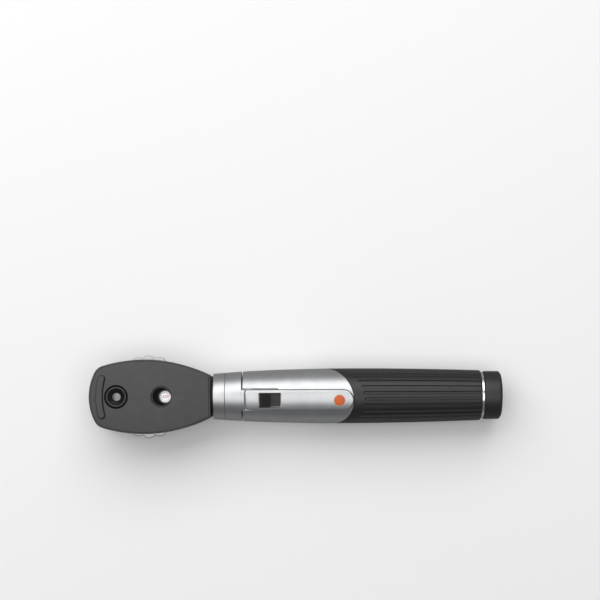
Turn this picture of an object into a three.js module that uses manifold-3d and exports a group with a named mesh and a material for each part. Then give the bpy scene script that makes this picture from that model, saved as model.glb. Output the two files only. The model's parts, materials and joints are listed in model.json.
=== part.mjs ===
// Hand-held direct ophthalmoscope: an optical head screwed onto a two-cell battery handle.
// Millimetres, +Z up. The origin is the centre of the flat end of the battery cap and +X points
// out of that end, so the handle lies along -X and the head is at its far end. +Z is the side
// that the examiner looks at, -Z the side that faces the patient.

import * as THREE from 'three';
import { mergeVertices } from 'three/addons/utils/BufferGeometryUtils.js';
import Module from 'manifold-3d';

const wasm = await Module();
wasm.setup();

// ---- Driving dimensions: handle -------------------------------------------------------------

const HANDLE_ROLL = THREE.MathUtils.degToRad(9);   // the handle's clip side against the head
const FIT = 0.1;                                   // running clearance between turned pieces
const ROUND = 48;                                  // sides of a large turned piece
const FINE = 24;                                   // sides of a small turned piece

const CELL = { radius: 7.25, length: 50.5, nubRadius: 2.6, nubLength: 1.1, rearEnd: -6.9 };
const CAP = { front: -7.4, radius: 10.3, wall: 1.6, bore: 8.65, round: 1.6 };
const TUBE = { front: -113.2, rear: -2.3, outer: 8.35, inner: 7.45 };
const SHELL = { front: -110.4, rear: -8.8, bore: 8.7, gap: 0.3 };
const BARREL = { widest: -68, maxRadius: 11.78, frontRadius: 10.66, rearRadius: 10.7 };
const SPLIT = { topX: -63.3, topZ: 11.7, slope: 0.9 };
const GROOVES = {
  count: 28, width: 1.1, depth: 0.5, setback: 4.5, runIn: 0.8, phase: THREE.MathUtils.degToRad(2),
};
const CHROME_RING = { front: -8.7, rear: -7.5, outer: 9.95, inner: 8.45 };
const CLIP_RING = { front: -117.95, rear: -110.9, bore: 7.3, step: -113.4, recess: 8.6 };
const TONGUE = { front: -111.3, gap: 0.35, halfWidth: 4.4, bottom: 9.6 };
const COLLAR = { front: -123.1, rear: -118.05, frontRadius: 9.76, bore: 7.1 };
const CONTACT_PIN = { front: -117.5, radius: 1.5 };
const INSULATOR = { front: -113.1, rear: -111.2, hole: 1.7 };
const SPRING = { front: -6.35, rear: -2.6, frontRadius: 2.6, rearRadius: 6, turns: 3, wire: 0.4 };
const SPRING_SEAT = { front: -2.15, rear: -1.65, radius: 6.9 };
const BEYOND = 20;                                 // further from the axis than any surface

// ---- Driving dimensions: clip and switch ----------------------------------------------------

const CLIP = { front: -109.6, rear: -63.3, halfWidth: 4.4, corner: 1.3, thick: 1.9, crown: 0.7 };
const CLIP_TOP = { front: 11.5, rear: 12.45 };
const CHANNEL = { side: 0.4, under: 0.35, relief: 0.35, reliefEnd: -95.5 };
const CLIP_PIN = { x: -107.8, z: 9.85, radius: 0.45, halfLength: 4.25 };
const CLIP_SPRING = { halfLength: 1.1, radius: 0.85, wire: 0.17, turns: 4 };
const PIN_BOSS = { halfLength: 0.95, inner: 3.1, outer: 4.25, bottom: 9, top: 10.5, hole: 0.6 };
const SPRING_SLOT = { halfLength: 1.25, halfWidth: 1.5, bottom: 7, top: 11.05 };
const BADGE = { x: -69.3, radius: 2.3, deep: 0.6 };
const WINDOW = { front: -103.6, rear: -93.9, halfWidth: 3.2 };
const SWITCH = { front: -103.2, rear: -94.3, halfWidth: 2.85, floor: 9.2, top: 10.6, slot: 0.85 };
const CONTACT = { front: -102, rear: -95, halfWidth: 0.6, thick: 0.2 };
const SLIDER = { length: 4.5, top: 12.05, ribs: 6, ribDepth: 0.3, valley: 0.15, stem: [-101.8, -99.8] };

// ---- Driving dimensions: head ---------------------------------------------------------------

const HEAD = {
  tip: -175.4, base: -124, wall: 1.5,
  crest: -152, halfWidth: 15.75, sideRadius: 60, tipRadius: 23, tipCorner: 5.5, baseCorner: 1.6,
  arcSteps: 4,
};
const REAR_SHELL = { bottom: 3.2, top: 11.2, edge: 1.1 };
const FRONT_SHELL = { bottom: -10.4, top: 2.9, edge: 1.6 };
const SIGHT_X = -163.8;
const EYEPIECE = {
  well: 5.05, wellDeep: 0.9, ring: 4.4, lip: 4, cone: 3.5, hole: 1.71, neck: 3.9, rise: 0.25,
  bottom: 8.6, throat: 9.4,
};
const BROW = { x: -170.9, halfWidth: 1.6, halfLength: 9.3, bend: 29, rise: 1.0 };
const LENS_WINDOW = {
  x: -144.7, radius: 4.5, bottom: 8.15, rim: 11.1, floor: 9.5, wall: 0.4, neck: 4.2, shoulder: 10.4,
};
const WINDOW_LENS = { x: -143.1, radius: 2.45, seat: 0.45, bottom: 8.65, edge: 9.2, top: 10.2 };
const WHEEL = {
  x: -150.2, radius: 17.55, scallops: 20, scallopDepth: 1.05, bottom: 5.1, top: 7.5,
  lenses: 20, lensRadius: 1.6, bore: 1.2,
};
const WHEEL_SLOT = { radius: 17.95, bottom: 3.0, top: 7.95 };
const LENS_CIRCLE = WHEEL.x - SIGHT_X;
const NUMBER_DISC = { inner: 2.4, outer: 9.6, bottom: 7.55, top: 7.85 };
const AXLE = {
  radius: 1.1, bottom: 3.95, top: 10.3, socket: 1.2, groove: 0.8, grooveBottom: 4.35, grooveTop: 4.85,
};
const AXLE_CLIP = { outer: 2.4, mouth: 0.7, play: 0.05 };
const DETENT = { x: -145, z: 4.5, radius: 0.5 };
const DETENT_SPRING = { front: -149, rear: -143.6, halfWidth: 0.9, bottom: 3.78, top: 3.95 };
const OPTICS = { z: -0.5, bore: 3.3, outer: 4.2, front: -161, rear: -134.2 };
const LUG = { places: [-143.4, -137.6], halfLength: 0.8, halfWidth: 1.8, bottom: -7, top: -4 };
const LIGHT_LENS = {
  radius: 3.1, bulge: 0.45, condenser: [-137.6, -135.6], projection: [-147.2, -145.2],
};
const MIRROR = { x: -158.9, length: 6.2, width: 5.6, thick: 0.8 };
const LAMP_SLEEVE = { front: -132.5, rear: -119.6, outer: 4.4, inner: 2.65 };
const LAMP = { tip: -133.9, bulb: 2.2, capFront: -128, cap: 2.5, capRear: -119, stud: 1, end: -117.65 };
const HEAD_BASE = { front: -131.6, rear: -113.6, bore: 4.5, boss: 6.2, spigot: 7 };
const LOCK = { front: -127.2, rear: -125.7, radius: 7.4 };
const FLANGE = { front: -123.85, rear: -123.2, radius: 8.6 };
const APERTURES = {
  x: -140.5, thick: 2.4, z: -5.2, radius: 6.3, circle: 4.7, teeth: 16, tooth: 0.4,
  openings: [1.5, 1.1, 0.7, 1.4, 1.5],
};
const APERTURE_AXLE = { front: -144, rear: -137, radius: 0.8 };
const FILTER = { place: 4, radius: 1.75, from: 0.55, thick: 0.5 };
const PATIENT_WINDOW = { x: -161.3, halfLength: 6.2, halfWidth: 3.4, thick: 0.8 };
const SCREWS = [[-171.7, 0], [-131, 8.65], [-131, -8.65]];
const SCREW = { shank: 0.8, head: 1.8, headTop: -8.8, headBottom: -10.1, end: 7.5, post: 1.9 };

// ---- Materials ------------------------------------------------------------------------------

const material = (color, roughness, metalness) =>
  new THREE.MeshStandardMaterial({ color, roughness, metalness });

const matteBlack = () => material(0x47484a, 0.62, 0.0);
const gripBlack = () => material(0x2e2d2e, 0.55, 0.0);
const satinSilver = () => material(0xb9bbbe, 0.34, 0.9);
const chrome = () => material(0xd9dadc, 0.12, 1.0);
const brass = () => material(0xb48a46, 0.35, 1.0);
const steel = () => material(0x9a9c9f, 0.3, 1.0);
const glass = () => material(0xdfe9ee, 0.05, 0.0);
const switchBlack = () => material(0x1b1b1c, 0.5, 0.0);

// ---- Solids ---------------------------------------------------------------------------------

/** A closed three.js geometry as a manifold solid. */
function solidOf(geometry) {
  const bare = geometry.clone();
  bare.deleteAttribute('normal');
  bare.deleteAttribute('uv');
  const merged = mergeVertices(bare, 1e-4);
  const index = merged.index.array;
  const triangles = [];
  for (let i = 0; i < index.length; i += 3) {
    const [a, b, c] = [index[i], index[i + 1], index[i + 2]];
    if (a !== b && b !== c && c !== a) triangles.push(a, b, c);
  }
  const vertProperties = new Float32Array(merged.attributes.position.array);
  const triVerts = new Uint32Array(triangles);
  return new wasm.Manifold(new wasm.Mesh({ numProp: 3, vertProperties, triVerts }));
}

/** The geometry of a manifold solid. */
function geometryOf(solid) {
  const mesh = solid.getMesh();
  const geometry = new THREE.BufferGeometry();
  geometry.setAttribute('position', new THREE.BufferAttribute(mesh.vertProperties, 3));
  geometry.setIndex(new THREE.BufferAttribute(mesh.triVerts, 1));
  geometry.computeVertexNormals();
  return geometry;
}

const cut = (base, ...tools) =>
  geometryOf(tools.reduce((solid, tool) => solid.subtract(solidOf(tool)), solidOf(base)));

const join = (base, ...others) =>
  geometryOf(others.reduce((solid, other) => solid.add(solidOf(other)), solidOf(base)));

const common = (a, b) => geometryOf(solidOf(a).intersect(solidOf(b)));

function part(name, geometry, finish) {
  const mesh = new THREE.Mesh(geometryOf(solidOf(geometry)), finish);
  mesh.name = name;
  return mesh;
}

function groupOf(...children) {
  const group = new THREE.Group();
  group.add(...children);
  return group;
}

/** A turned solid from a closed loop of [radius, height], standing along Y. */
function turned(loop, sides) {
  const points = loop.map(([radius, height]) => new THREE.Vector2(radius, height));
  if (THREE.ShapeUtils.area(points) < 0) points.reverse();
  points.push(points[0].clone());
  return new THREE.LatheGeometry(points, sides);
}

/** A turned solid along X from a loop of [x, radius]. */
const turnedX = (loop, sides = ROUND) =>
  turned(loop.map(([x, radius]) => [radius, x]), sides).rotateZ(-Math.PI / 2);

/** A turned solid along Z from a loop of [radius, z]. */
const turnedZ = (loop, sides = FINE) => turned(loop, sides).rotateX(Math.PI / 2);

const tubeX = (x0, x1, outer, inner, sides = ROUND) =>
  turnedX([[x0, inner], [x0, outer], [x1, outer], [x1, inner]], sides);

const rodX = (x0, x1, radius, sides = FINE) =>
  new THREE.CylinderGeometry(radius, radius, x1 - x0, sides)
    .rotateZ(-Math.PI / 2).translate((x0 + x1) / 2, 0, 0);

const rodY = (y0, y1, radius, sides = 16) =>
  new THREE.CylinderGeometry(radius, radius, y1 - y0, sides).translate(0, (y0 + y1) / 2, 0);

const rodZ = (z0, z1, radius, sides = FINE) =>
  new THREE.CylinderGeometry(radius, radius, z1 - z0, sides)
    .rotateX(Math.PI / 2).translate(0, 0, (z0 + z1) / 2);

const block = ([x0, x1], [y0, y1], [z0, z1]) =>
  new THREE.BoxGeometry(x1 - x0, y1 - y0, z1 - z0)
    .translate((x0 + x1) / 2, (y0 + y1) / 2, (z0 + z1) / 2);

/** A flat shape drawn in X and Y, raised from z0 to z1. */
const plate = (shape, z0, z1, curveSegments = 8) =>
  new THREE.ExtrudeGeometry(shape, { depth: z1 - z0, bevelEnabled: false, curveSegments })
    .translate(0, 0, z0);

/** A side view drawn in X and Z, spread from -halfWidth to +halfWidth along Y. */
const slab = (corners, halfWidth) =>
  new THREE.ExtrudeGeometry(
    new THREE.Shape(corners.map(([x, z]) => new THREE.Vector2(x, z))),
    { depth: 2 * halfWidth, bevelEnabled: false },
  ).rotateX(Math.PI / 2).translate(0, halfWidth, 0);

const steps = (from, to, count) =>
  Array.from({ length: count + 1 }, (_, i) => from + ((to - from) * i) / count);

// ---- Handle ---------------------------------------------------------------------------------

/** Outer radius of the barrel-shaped handle at a place along X. */
function barrelRadius(x) {
  const { widest, maxRadius, frontRadius, rearRadius } = BARREL;
  const [end, endRadius] = x < widest ? [SHELL.front, frontRadius] : [SHELL.rear, rearRadius];
  return maxRadius - (maxRadius - endRadius) * ((x - widest) / (end - widest)) ** 2;
}

/** Radius of the cone that carries the barrel's line forward over the two rings. */
function neckRadius(x) {
  const rise = (BARREL.frontRadius - COLLAR.frontRadius) / (SHELL.front - COLLAR.front);
  return COLLAR.frontRadius + rise * (x - COLLAR.front);
}

/** X of the slanted joint between the silver and the black shell at height z. */
const splitX = (z) => SPLIT.topX - SPLIT.slope * (SPLIT.topZ - z);

/** Everything on one side of the slanted joint: side -1 is forward of it, +1 is behind it. */
function besideSplit(side, offset) {
  const far = side < 0 ? HEAD.base : -HEAD.base;
  return slab([
    [splitX(BEYOND) + offset, BEYOND],
    [splitX(-BEYOND) + offset, -BEYOND],
    [far, -BEYOND],
    [far, BEYOND],
  ], BEYOND);
}

function barrel(x0, x1) {
  const outside = steps(x0, x1, 3).map((x) => [x, barrelRadius(x)]);
  return turnedX([[x0, SHELL.bore], ...outside, [x1, SHELL.bore]]);
}

const clipTop = (x) =>
  CLIP_TOP.front + ((CLIP_TOP.rear - CLIP_TOP.front) * (x - CLIP.front)) / (CLIP.rear - CLIP.front);

const channelFloor = (x) => clipTop(x) - CLIP.thick - CHANNEL.under;

/** Plan of the clip, grown all round by a margin: square in front, round at the tail. */
function clipPlan(margin) {
  const half = CLIP.halfWidth + margin;
  const corner = CLIP.corner + margin;
  const front = CLIP.front - margin;
  const tail = CLIP.rear - CLIP.halfWidth;
  const plan = new THREE.Shape();
  plan.moveTo(front, half - corner);
  plan.lineTo(front, -half + corner);
  plan.absarc(front + corner, -half + corner, corner, Math.PI, 1.5 * Math.PI, false);
  plan.absarc(tail, 0, half, -0.5 * Math.PI, 0.5 * Math.PI, false);
  plan.absarc(front + corner, half - corner, corner, 0.5 * Math.PI, Math.PI, false);
  return plan;
}

/** The space above the channel floor that both shells give up to the clip. */
function clipChannel() {
  const [x0, x1] = [SHELL.front - 2, CLIP.rear + 2];
  const floor = [[x0, channelFloor(x0)], [x1, channelFloor(x1)]];
  const above = slab([...floor, [x1, BEYOND], [x0, BEYOND]], BEYOND);
  const side = CLIP.halfWidth + CHANNEL.side;
  const openFront = block([x0, CLIP.front + 2], [-side, side], [0, BEYOND]);
  const relief = block([x0, CHANNEL.reliefEnd], [0, side + CHANNEL.relief], [0, BEYOND]);
  return common(above, join(plate(clipPlan(CHANNEL.side), 0, BEYOND), openFront, relief));
}

function upperShell() {
  const shell = cut(barrel(SHELL.front, CLIP.rear), besideSplit(1, 0), clipChannel());
  const pinX = CLIP_PIN.x;
  const bosses = [-1, 1].map((side) => {
    const ys = [side * PIN_BOSS.inner, side * PIN_BOSS.outer].sort((a, b) => a - b);
    const xs = [pinX - PIN_BOSS.halfLength, pinX + PIN_BOSS.halfLength];
    return block(xs, ys, [PIN_BOSS.bottom, PIN_BOSS.top]);
  });
  const pinHole = rodY(-6, 6, PIN_BOSS.hole).translate(pinX, 0, CLIP_PIN.z);
  const springPocket = block(
    [pinX - SPRING_SLOT.halfLength, pinX + SPRING_SLOT.halfLength],
    [-SPRING_SLOT.halfWidth, SPRING_SLOT.halfWidth],
    [SPRING_SLOT.bottom, PIN_BOSS.top],
  );
  const switchPocket = block(
    [SWITCH.front - FIT, SWITCH.rear + FIT],
    [-SWITCH.halfWidth - FIT, SWITCH.halfWidth + FIT],
    [SWITCH.floor - 0.05, PIN_BOSS.top],
  );
  return cut(join(shell, ...bosses), pinHole, springPocket, switchPocket);
}

function gripShell() {
  const whole = barrel(splitX(-BARREL.maxRadius), SHELL.rear);
  const shell = cut(whole, besideSplit(-1, SHELL.gap), clipChannel());
  const grooves = [];
  for (let i = 0; i < GROOVES.count; i += 1) {
    const angle = GROOVES.phase + (i * 2 * Math.PI) / GROOVES.count;
    const start = splitX(BARREL.maxRadius * Math.cos(angle)) + GROOVES.setback;
    const end = SHELL.rear + 1;
    const floor = steps(start + GROOVES.runIn, end, 2).map((x) => [x, barrelRadius(x) - GROOVES.depth]);
    const lip = [start, barrelRadius(start) - GROOVES.depth / 5];
    const profile = [[start, BEYOND], lip, ...floor, [end, BEYOND]];
    grooves.push(slab(profile, GROOVES.width / 2).rotateX(-angle));
  }
  return cut(shell, ...grooves);
}

function batteryTube() {
  return tubeX(TUBE.front, TUBE.rear, TUBE.outer, TUBE.inner, FINE);
}

/** The piece of the clip ring that closes the front of the clip's channel. */
function tongue() {
  const xs = [TONGUE.front, CLIP.front - TONGUE.gap];
  const { halfWidth, bottom } = TONGUE;
  return common(
    block(xs, [-halfWidth, halfWidth], [bottom, BEYOND]),
    rodX(xs[0] - 1, xs[1] + 1, neckRadius(CLIP_RING.rear) - 0.05, ROUND),
  );
}

function clipRing() {
  const { front, rear, bore, step, recess } = CLIP_RING;
  const ring = turnedX([
    [front, bore], [front, neckRadius(front)], [rear, neckRadius(rear)],
    [rear, recess], [step, recess], [step, bore],
  ]);
  return join(ring, tongue());
}

const contactInsulator = () =>
  tubeX(INSULATOR.front, INSULATOR.rear, TUBE.inner - FIT, INSULATOR.hole, FINE);

const chromeRing = () =>
  tubeX(CHROME_RING.front, CHROME_RING.rear, CHROME_RING.outer, CHROME_RING.inner);

/** A dry cell whose flat end is at rearEnd, with its contact nub towards -X. */
function cell(rearEnd) {
  const shoulder = rearEnd - CELL.length + CELL.nubLength;
  const front = rearEnd - CELL.length;
  return turnedX([
    [rearEnd, 0], [rearEnd, CELL.radius], [shoulder, CELL.radius],
    [shoulder, CELL.nubRadius], [front, CELL.nubRadius], [front, 0],
  ], FINE);
}

const FRONT_CELL_END = CELL.rearEnd - CELL.length - FIT;

function contactPin() {
  return rodX(CONTACT_PIN.front, FRONT_CELL_END - CELL.length - FIT, CONTACT_PIN.radius);
}

function endCap() {
  const { front, radius, wall, bore, round } = CAP;
  const corner = [30, 60, 90].map((degrees) => {
    const angle = THREE.MathUtils.degToRad(degrees);
    return [-round + round * Math.sin(angle), radius - round + round * Math.cos(angle)];
  });
  return turnedX([
    [front, bore], [front, radius], [-round, radius], ...corner,
    [0, 0], [-wall, 0], [-wall, bore],
  ]);
}

class ConeHelix extends THREE.Curve {
  constructor(x0, x1, radius0, radius1, turns) {
    super();
    Object.assign(this, { x0, x1, radius0, radius1, turns });
  }

  getPoint(t, target = new THREE.Vector3()) {
    const angle = t * this.turns * 2 * Math.PI;
    const radius = this.radius0 + (this.radius1 - this.radius0) * t;
    const x = this.x0 + (this.x1 - this.x0) * t;
    return target.set(x, radius * Math.cos(angle), radius * Math.sin(angle));
  }
}

const wireSection = (radius) => new THREE.Shape().absarc(0, 0, radius, 0, 2 * Math.PI, false);

const wire = (extrudePath, radius, count) =>
  new THREE.ExtrudeGeometry(wireSection(radius), { extrudePath, steps: count, curveSegments: 3 });

/** The conical spring that presses the cells forward from inside the cap. */
function batterySpring() {
  const { front, rear, frontRadius, rearRadius, turns } = SPRING;
  return wire(new ConeHelix(front, rear, frontRadius, rearRadius, turns), SPRING.wire, 14 * turns);
}

const springSeat = () => rodX(SPRING_SEAT.front, SPRING_SEAT.rear, SPRING_SEAT.radius);

// ---- Clip and switch ------------------------------------------------------------------------

function pocketClip() {
  const half = CLIP.halfWidth;
  const slope = (CLIP_TOP.rear - CLIP_TOP.front) / (CLIP.rear - CLIP.front);
  const crownRadius = (half ** 2 + CLIP.crown ** 2) / (2 * CLIP.crown);
  const crownAngle = Math.asin(half / crownRadius);
  const section = new THREE.Shape();
  section.moveTo(-half, -CLIP.thick);
  section.lineTo(half, -CLIP.thick);
  const [start, end] = [Math.PI / 2 - crownAngle, Math.PI / 2 + crownAngle];
  section.absarc(0, -crownRadius, crownRadius, start, end, false);
  const over = 2;
  const depth = CLIP.rear - CLIP.front + 2 * over;
  const bar = new THREE.ExtrudeGeometry(section, { depth, bevelEnabled: false, curveSegments: 4 })
    .rotateX(Math.PI / 2).rotateZ(Math.PI / 2)
    .rotateY(-Math.atan(slope))
    .translate(CLIP.front - over, 0, clipTop(CLIP.front - over));
  const body = common(bar, plate(clipPlan(0), 0, BEYOND));
  const pinX = CLIP_PIN.x;
  const room = (halfLength, ys, top) => block([pinX - halfLength, pinX + halfLength], ys, [0, top]);
  const bossRoom = (side) => {
    const ys = [side * (PIN_BOSS.inner - 0.3), side * (half + 1)].sort((a, b) => a - b);
    return room(PIN_BOSS.halfLength + 0.4, ys, PIN_BOSS.top + 0.35);
  };
  return cut(
    body,
    block([WINDOW.front, WINDOW.rear], [-WINDOW.halfWidth, WINDOW.halfWidth], [0, BEYOND]),
    rodY(-6, 6, CLIP_PIN.radius + FIT).translate(pinX, 0, CLIP_PIN.z),
    bossRoom(-1),
    bossRoom(1),
    room(SPRING_SLOT.halfLength + 0.25, [-1.6, 1.6], SPRING_SLOT.top),
    badgeDisc(BADGE.radius + 0.15, BADGE.deep + 0.1),
  );
}

/** A round inlay in the crown of the clip near its tail. */
const badgeDisc = (radius, deep) =>
  rodZ(clipTop(BADGE.x) - deep, clipTop(BADGE.x) + 0.02, radius).translate(BADGE.x, 0, 0);

function clipPin() {
  const { x, z, radius, halfLength } = CLIP_PIN;
  return rodY(-halfLength, halfLength, radius).translate(x, 0, z);
}

/** A coil round the clip's pin that presses the tail of the clip down. */
function clipSpring() {
  const { halfLength, radius, turns } = CLIP_SPRING;
  const coil = new ConeHelix(-halfLength, halfLength, radius, radius, turns);
  return wire(coil, CLIP_SPRING.wire, 8 * turns)
    .rotateZ(Math.PI / 2).translate(CLIP_PIN.x, 0, CLIP_PIN.z);
}

function switchFrame() {
  const { front, rear, halfWidth, floor, top, slot } = SWITCH;
  const opening = block([front + 1, rear - 0.5], [-slot, slot], [0, BEYOND]);
  return cut(block([front, rear], [-halfWidth, halfWidth], [floor, top]), opening);
}

function switchContact() {
  const { front, rear, halfWidth, thick } = CONTACT;
  return block([front, rear], [-halfWidth, halfWidth], [SWITCH.floor, SWITCH.floor + thick]);
}

function switchSlider() {
  const base = SWITCH.top + 0.05;
  const { length, top, ribs, ribDepth, valley } = SLIDER;
  const { front, halfWidth } = SWITCH;
  const key = block([front, front + length], [-halfWidth, halfWidth], [base, top]);
  const foot = SWITCH.floor + CONTACT.thick + 0.05;
  const stem = block(SLIDER.stem, [-CONTACT.halfWidth, CONTACT.halfWidth], [foot, base + 0.1]);
  const valleys = steps(1, ribs - 1, ribs - 2).map((i) => {
    const x = front + (i * length) / ribs;
    return block([x - valley, x + valley], [-BEYOND, BEYOND], [top - ribDepth, BEYOND]);
  });
  return cut(join(key, stem), ...valleys);
}

// ---- Head: shells ---------------------------------------------------------------------------

/** The crossing of two circles that lies furthest towards -X. */
function circleCrossing(a, radiusA, b, radiusB) {
  const between = new THREE.Vector2().subVectors(b, a);
  const distance = between.length();
  const along = (distance ** 2 + radiusA ** 2 - radiusB ** 2) / (2 * distance);
  const across = Math.sqrt(radiusA ** 2 - along ** 2);
  const direction = between.normalize();
  const foot = a.clone().addScaledVector(direction, along);
  const one = foot.clone().add(new THREE.Vector2(-direction.y, direction.x).multiplyScalar(across));
  const two = foot.clone().add(new THREE.Vector2(direction.y, -direction.x).multiplyScalar(across));
  return one.x < two.x ? one : two;
}

const angleTo = (centre, point) => Math.atan2(point.y - centre.y, point.x - centre.x);

/** Plan of the head, drawn inwards by inset: one arc per side, one at the tip, round corners. */
function headPlan(inset) {
  const side = new THREE.Vector2(HEAD.crest, HEAD.halfWidth - HEAD.sideRadius);
  const tip = new THREE.Vector2(HEAD.tip + HEAD.tipRadius, 0);
  const sideRadius = HEAD.sideRadius - inset;
  const tipRadius = HEAD.tipRadius - inset;
  const tipCorner = Math.max(HEAD.tipCorner - inset, 0.5);
  const corner = circleCrossing(side, sideRadius - tipCorner, tip, tipRadius - tipCorner);
  const base = HEAD.base - inset;
  const baseCorner = Math.max(HEAD.baseCorner - inset, 0.4);
  const baseX = base - baseCorner;
  const reach = sideRadius - baseCorner;
  const baseY = side.y + Math.sqrt(reach ** 2 - (baseX - side.x) ** 2);
  const baseCentre = new THREE.Vector2(baseX, baseY);
  const sideStart = angleTo(side, baseCentre);
  const sideEnd = angleTo(side, corner);
  const tipStart = angleTo(tip, corner);
  const plan = new THREE.Shape();
  plan.absarc(baseX, baseY, baseCorner, 0, sideStart, false);
  plan.absarc(side.x, side.y, sideRadius, sideStart, sideEnd, false);
  plan.absarc(corner.x, corner.y, tipCorner, sideEnd, tipStart, false);
  plan.absarc(tip.x, tip.y, tipRadius, tipStart, 2 * Math.PI - tipStart, false);
  plan.absarc(corner.x, -corner.y, tipCorner, -tipStart, -sideEnd, false);
  plan.absarc(side.x, -side.y, sideRadius, -sideEnd, -sideStart, false);
  plan.absarc(baseX, -baseY, baseCorner, -sideStart, 0, false);
  return plan;
}

/** A solid of the head's plan whose outer edges at z0 and z1 are rounded by edge. */
function roundedHead(z0, z1, edge) {
  return new THREE.ExtrudeGeometry(headPlan(edge), {
    depth: z1 - z0 - 2 * edge,
    bevelThickness: edge,
    bevelSize: edge,
    bevelSegments: 2,
    curveSegments: HEAD.arcSteps,
  }).translate(0, 0, z0 + edge);
}

/** A slice of space round the head between two heights. */
const slice = (z0, z1) => block([2 * HEAD.tip, 0], [-2 * BEYOND, 2 * BEYOND], [z0, z1]);

const baseHole = () => rodX(HEAD.base - 2, HEAD.base + 1, HEAD_BASE.boss + 0.2, 36);

function headRearShell() {
  const { bottom, top, edge } = REAR_SHELL;
  const outside = cut(roundedHead(bottom - 6, top, edge), slice(bottom - 8, bottom));
  const hollow = plate(headPlan(HEAD.wall), bottom - 1, top - HEAD.wall, HEAD.arcSteps);
  const posts = SCREWS.map(([x, y]) => rodZ(bottom, top - 1, SCREW.post, 16).translate(x, y, 0));
  const screwHoles = SCREWS.map(([x, y]) =>
    rodZ(0, SCREW.end + 0.4, SCREW.shank + 0.2, 12).translate(x, y, 0));
  return cut(
    join(cut(outside, hollow), ...posts),
    ...screwHoles,
    rodZ(WHEEL_SLOT.bottom, WHEEL_SLOT.top, WHEEL_SLOT.radius, ROUND).translate(WHEEL.x, 0, 0),
    rodZ(0, BEYOND, EYEPIECE.neck + FIT).translate(SIGHT_X, 0, 0),
    rodZ(top - EYEPIECE.wellDeep, BEYOND, EYEPIECE.well, 32).translate(SIGHT_X, 0, 0),
    rodZ(0, BEYOND, LENS_WINDOW.radius + FIT, 32).translate(LENS_WINDOW.x, 0, 0),
    rodZ(0, AXLE.top + FIT, AXLE.socket).translate(WHEEL.x, 0, 0),
    baseHole(),
  );
}

/** The long hole of the patient's side, grown all round by a margin. */
function patientPlan(margin) {
  const radius = PATIENT_WINDOW.halfWidth + margin;
  const straight = PATIENT_WINDOW.halfLength - PATIENT_WINDOW.halfWidth;
  const plan = new THREE.Shape();
  plan.absarc(PATIENT_WINDOW.x + straight, 0, radius, -Math.PI / 2, Math.PI / 2, false);
  plan.absarc(PATIENT_WINDOW.x - straight, 0, radius, Math.PI / 2, 1.5 * Math.PI, false);
  return plan;
}

function headFrontShell() {
  const { bottom, top, edge } = FRONT_SHELL;
  const outside = cut(roundedHead(bottom, top + 6, edge), slice(top, top + 8));
  const hollow = plate(headPlan(HEAD.wall), bottom + HEAD.wall, top + 1, HEAD.arcSteps);
  const posts = SCREWS.map(([x, y]) => rodZ(bottom + 1, top, SCREW.post + 0.4, 16).translate(x, y, 0));
  const screwHoles = SCREWS.flatMap(([x, y]) => [
    rodZ(-BEYOND, BEYOND, SCREW.shank + 0.25, 12).translate(x, y, 0),
    rodZ(-BEYOND, SCREW.headTop + 0.05, SCREW.head + 0.2, 16).translate(x, y, 0),
  ]);
  const { x, thick, z, radius } = APERTURES;
  return cut(
    join(cut(outside, hollow), ...posts),
    ...screwHoles,
    plate(patientPlan(-0.8), -BEYOND, 0),
    plate(patientPlan(FIT), -BEYOND, bottom + 0.1 + PATIENT_WINDOW.thick),
    rodX(x - thick / 2 - 0.5, x + thick / 2 + 0.5, radius + 0.4, 32).translate(0, 0, z),
    baseHole(),
  );
}

function patientWindow() {
  const bottom = FRONT_SHELL.bottom + 0.05;
  return plate(patientPlan(0), bottom, bottom + PATIENT_WINDOW.thick);
}

/** A bent bar with round ends that rests on the examiner's brow. */
function browRest() {
  const { x, halfWidth, halfLength, bend, rise } = BROW;
  const reach = Math.asin((halfLength - halfWidth) / bend);
  const end = { x: x + bend * (1 - Math.cos(reach)), y: bend * Math.sin(reach) };
  const plan = new THREE.Shape();
  plan.absarc(x + bend, 0, bend + halfWidth, Math.PI - reach, Math.PI + reach, false);
  plan.absarc(end.x, -end.y, halfWidth, Math.PI + reach, 2 * Math.PI + reach, false);
  plan.absarc(x + bend, 0, bend - halfWidth, Math.PI + reach, Math.PI - reach, true);
  plan.absarc(end.x, end.y, halfWidth, -reach, Math.PI - reach, false);
  return plate(plan, REAR_SHELL.top + 0.02, REAR_SHELL.top + rise, 5);
}

/** The ring round the viewing hole, standing in a well of the shell. */
function eyepieceRing() {
  const { wellDeep, ring, lip, cone, hole, neck, rise, bottom, throat } = EYEPIECE;
  const seat = REAR_SHELL.top - wellDeep + 0.05;
  const top = REAR_SHELL.top + rise;
  return turnedZ([
    [hole, bottom], [neck, bottom], [neck, seat], [ring, seat], [ring, top - 0.3], [lip, top],
    [cone, top - 0.2], [hole, throat],
  ], 32).translate(SIGHT_X, 0, 0);
}

/** The dark cup of the window, with a seat for its lens set off-centre in the floor. */
function windowBezel() {
  const { x, radius, bottom, rim, floor, wall, neck, shoulder } = LENS_WINDOW;
  const cup = turnedZ([
    [0, bottom], [neck, bottom], [neck, shoulder], [radius, shoulder], [radius, rim],
    [radius - wall, rim], [neck - wall, shoulder], [neck - wall, floor], [0, floor],
  ], 32).translate(x, 0, 0);
  const lens = WINDOW_LENS;
  return cut(
    cup,
    rodZ(0, BEYOND, lens.radius - lens.seat).translate(lens.x, 0, 0),
    rodZ(lens.bottom - 0.05, BEYOND, lens.radius + FIT).translate(lens.x, 0, 0),
  );
}

function windowLens() {
  const { x, radius, bottom, edge, top } = WINDOW_LENS;
  const dome = [0.85, 0.6, 0.3].map((share) =>
    [radius * share, edge + (top - edge) * Math.sqrt(1 - share ** 2)]);
  return turnedZ([[0, bottom], [radius, bottom], [radius, edge], ...dome, [0, top]])
    .translate(x, 0, 0);
}

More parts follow.
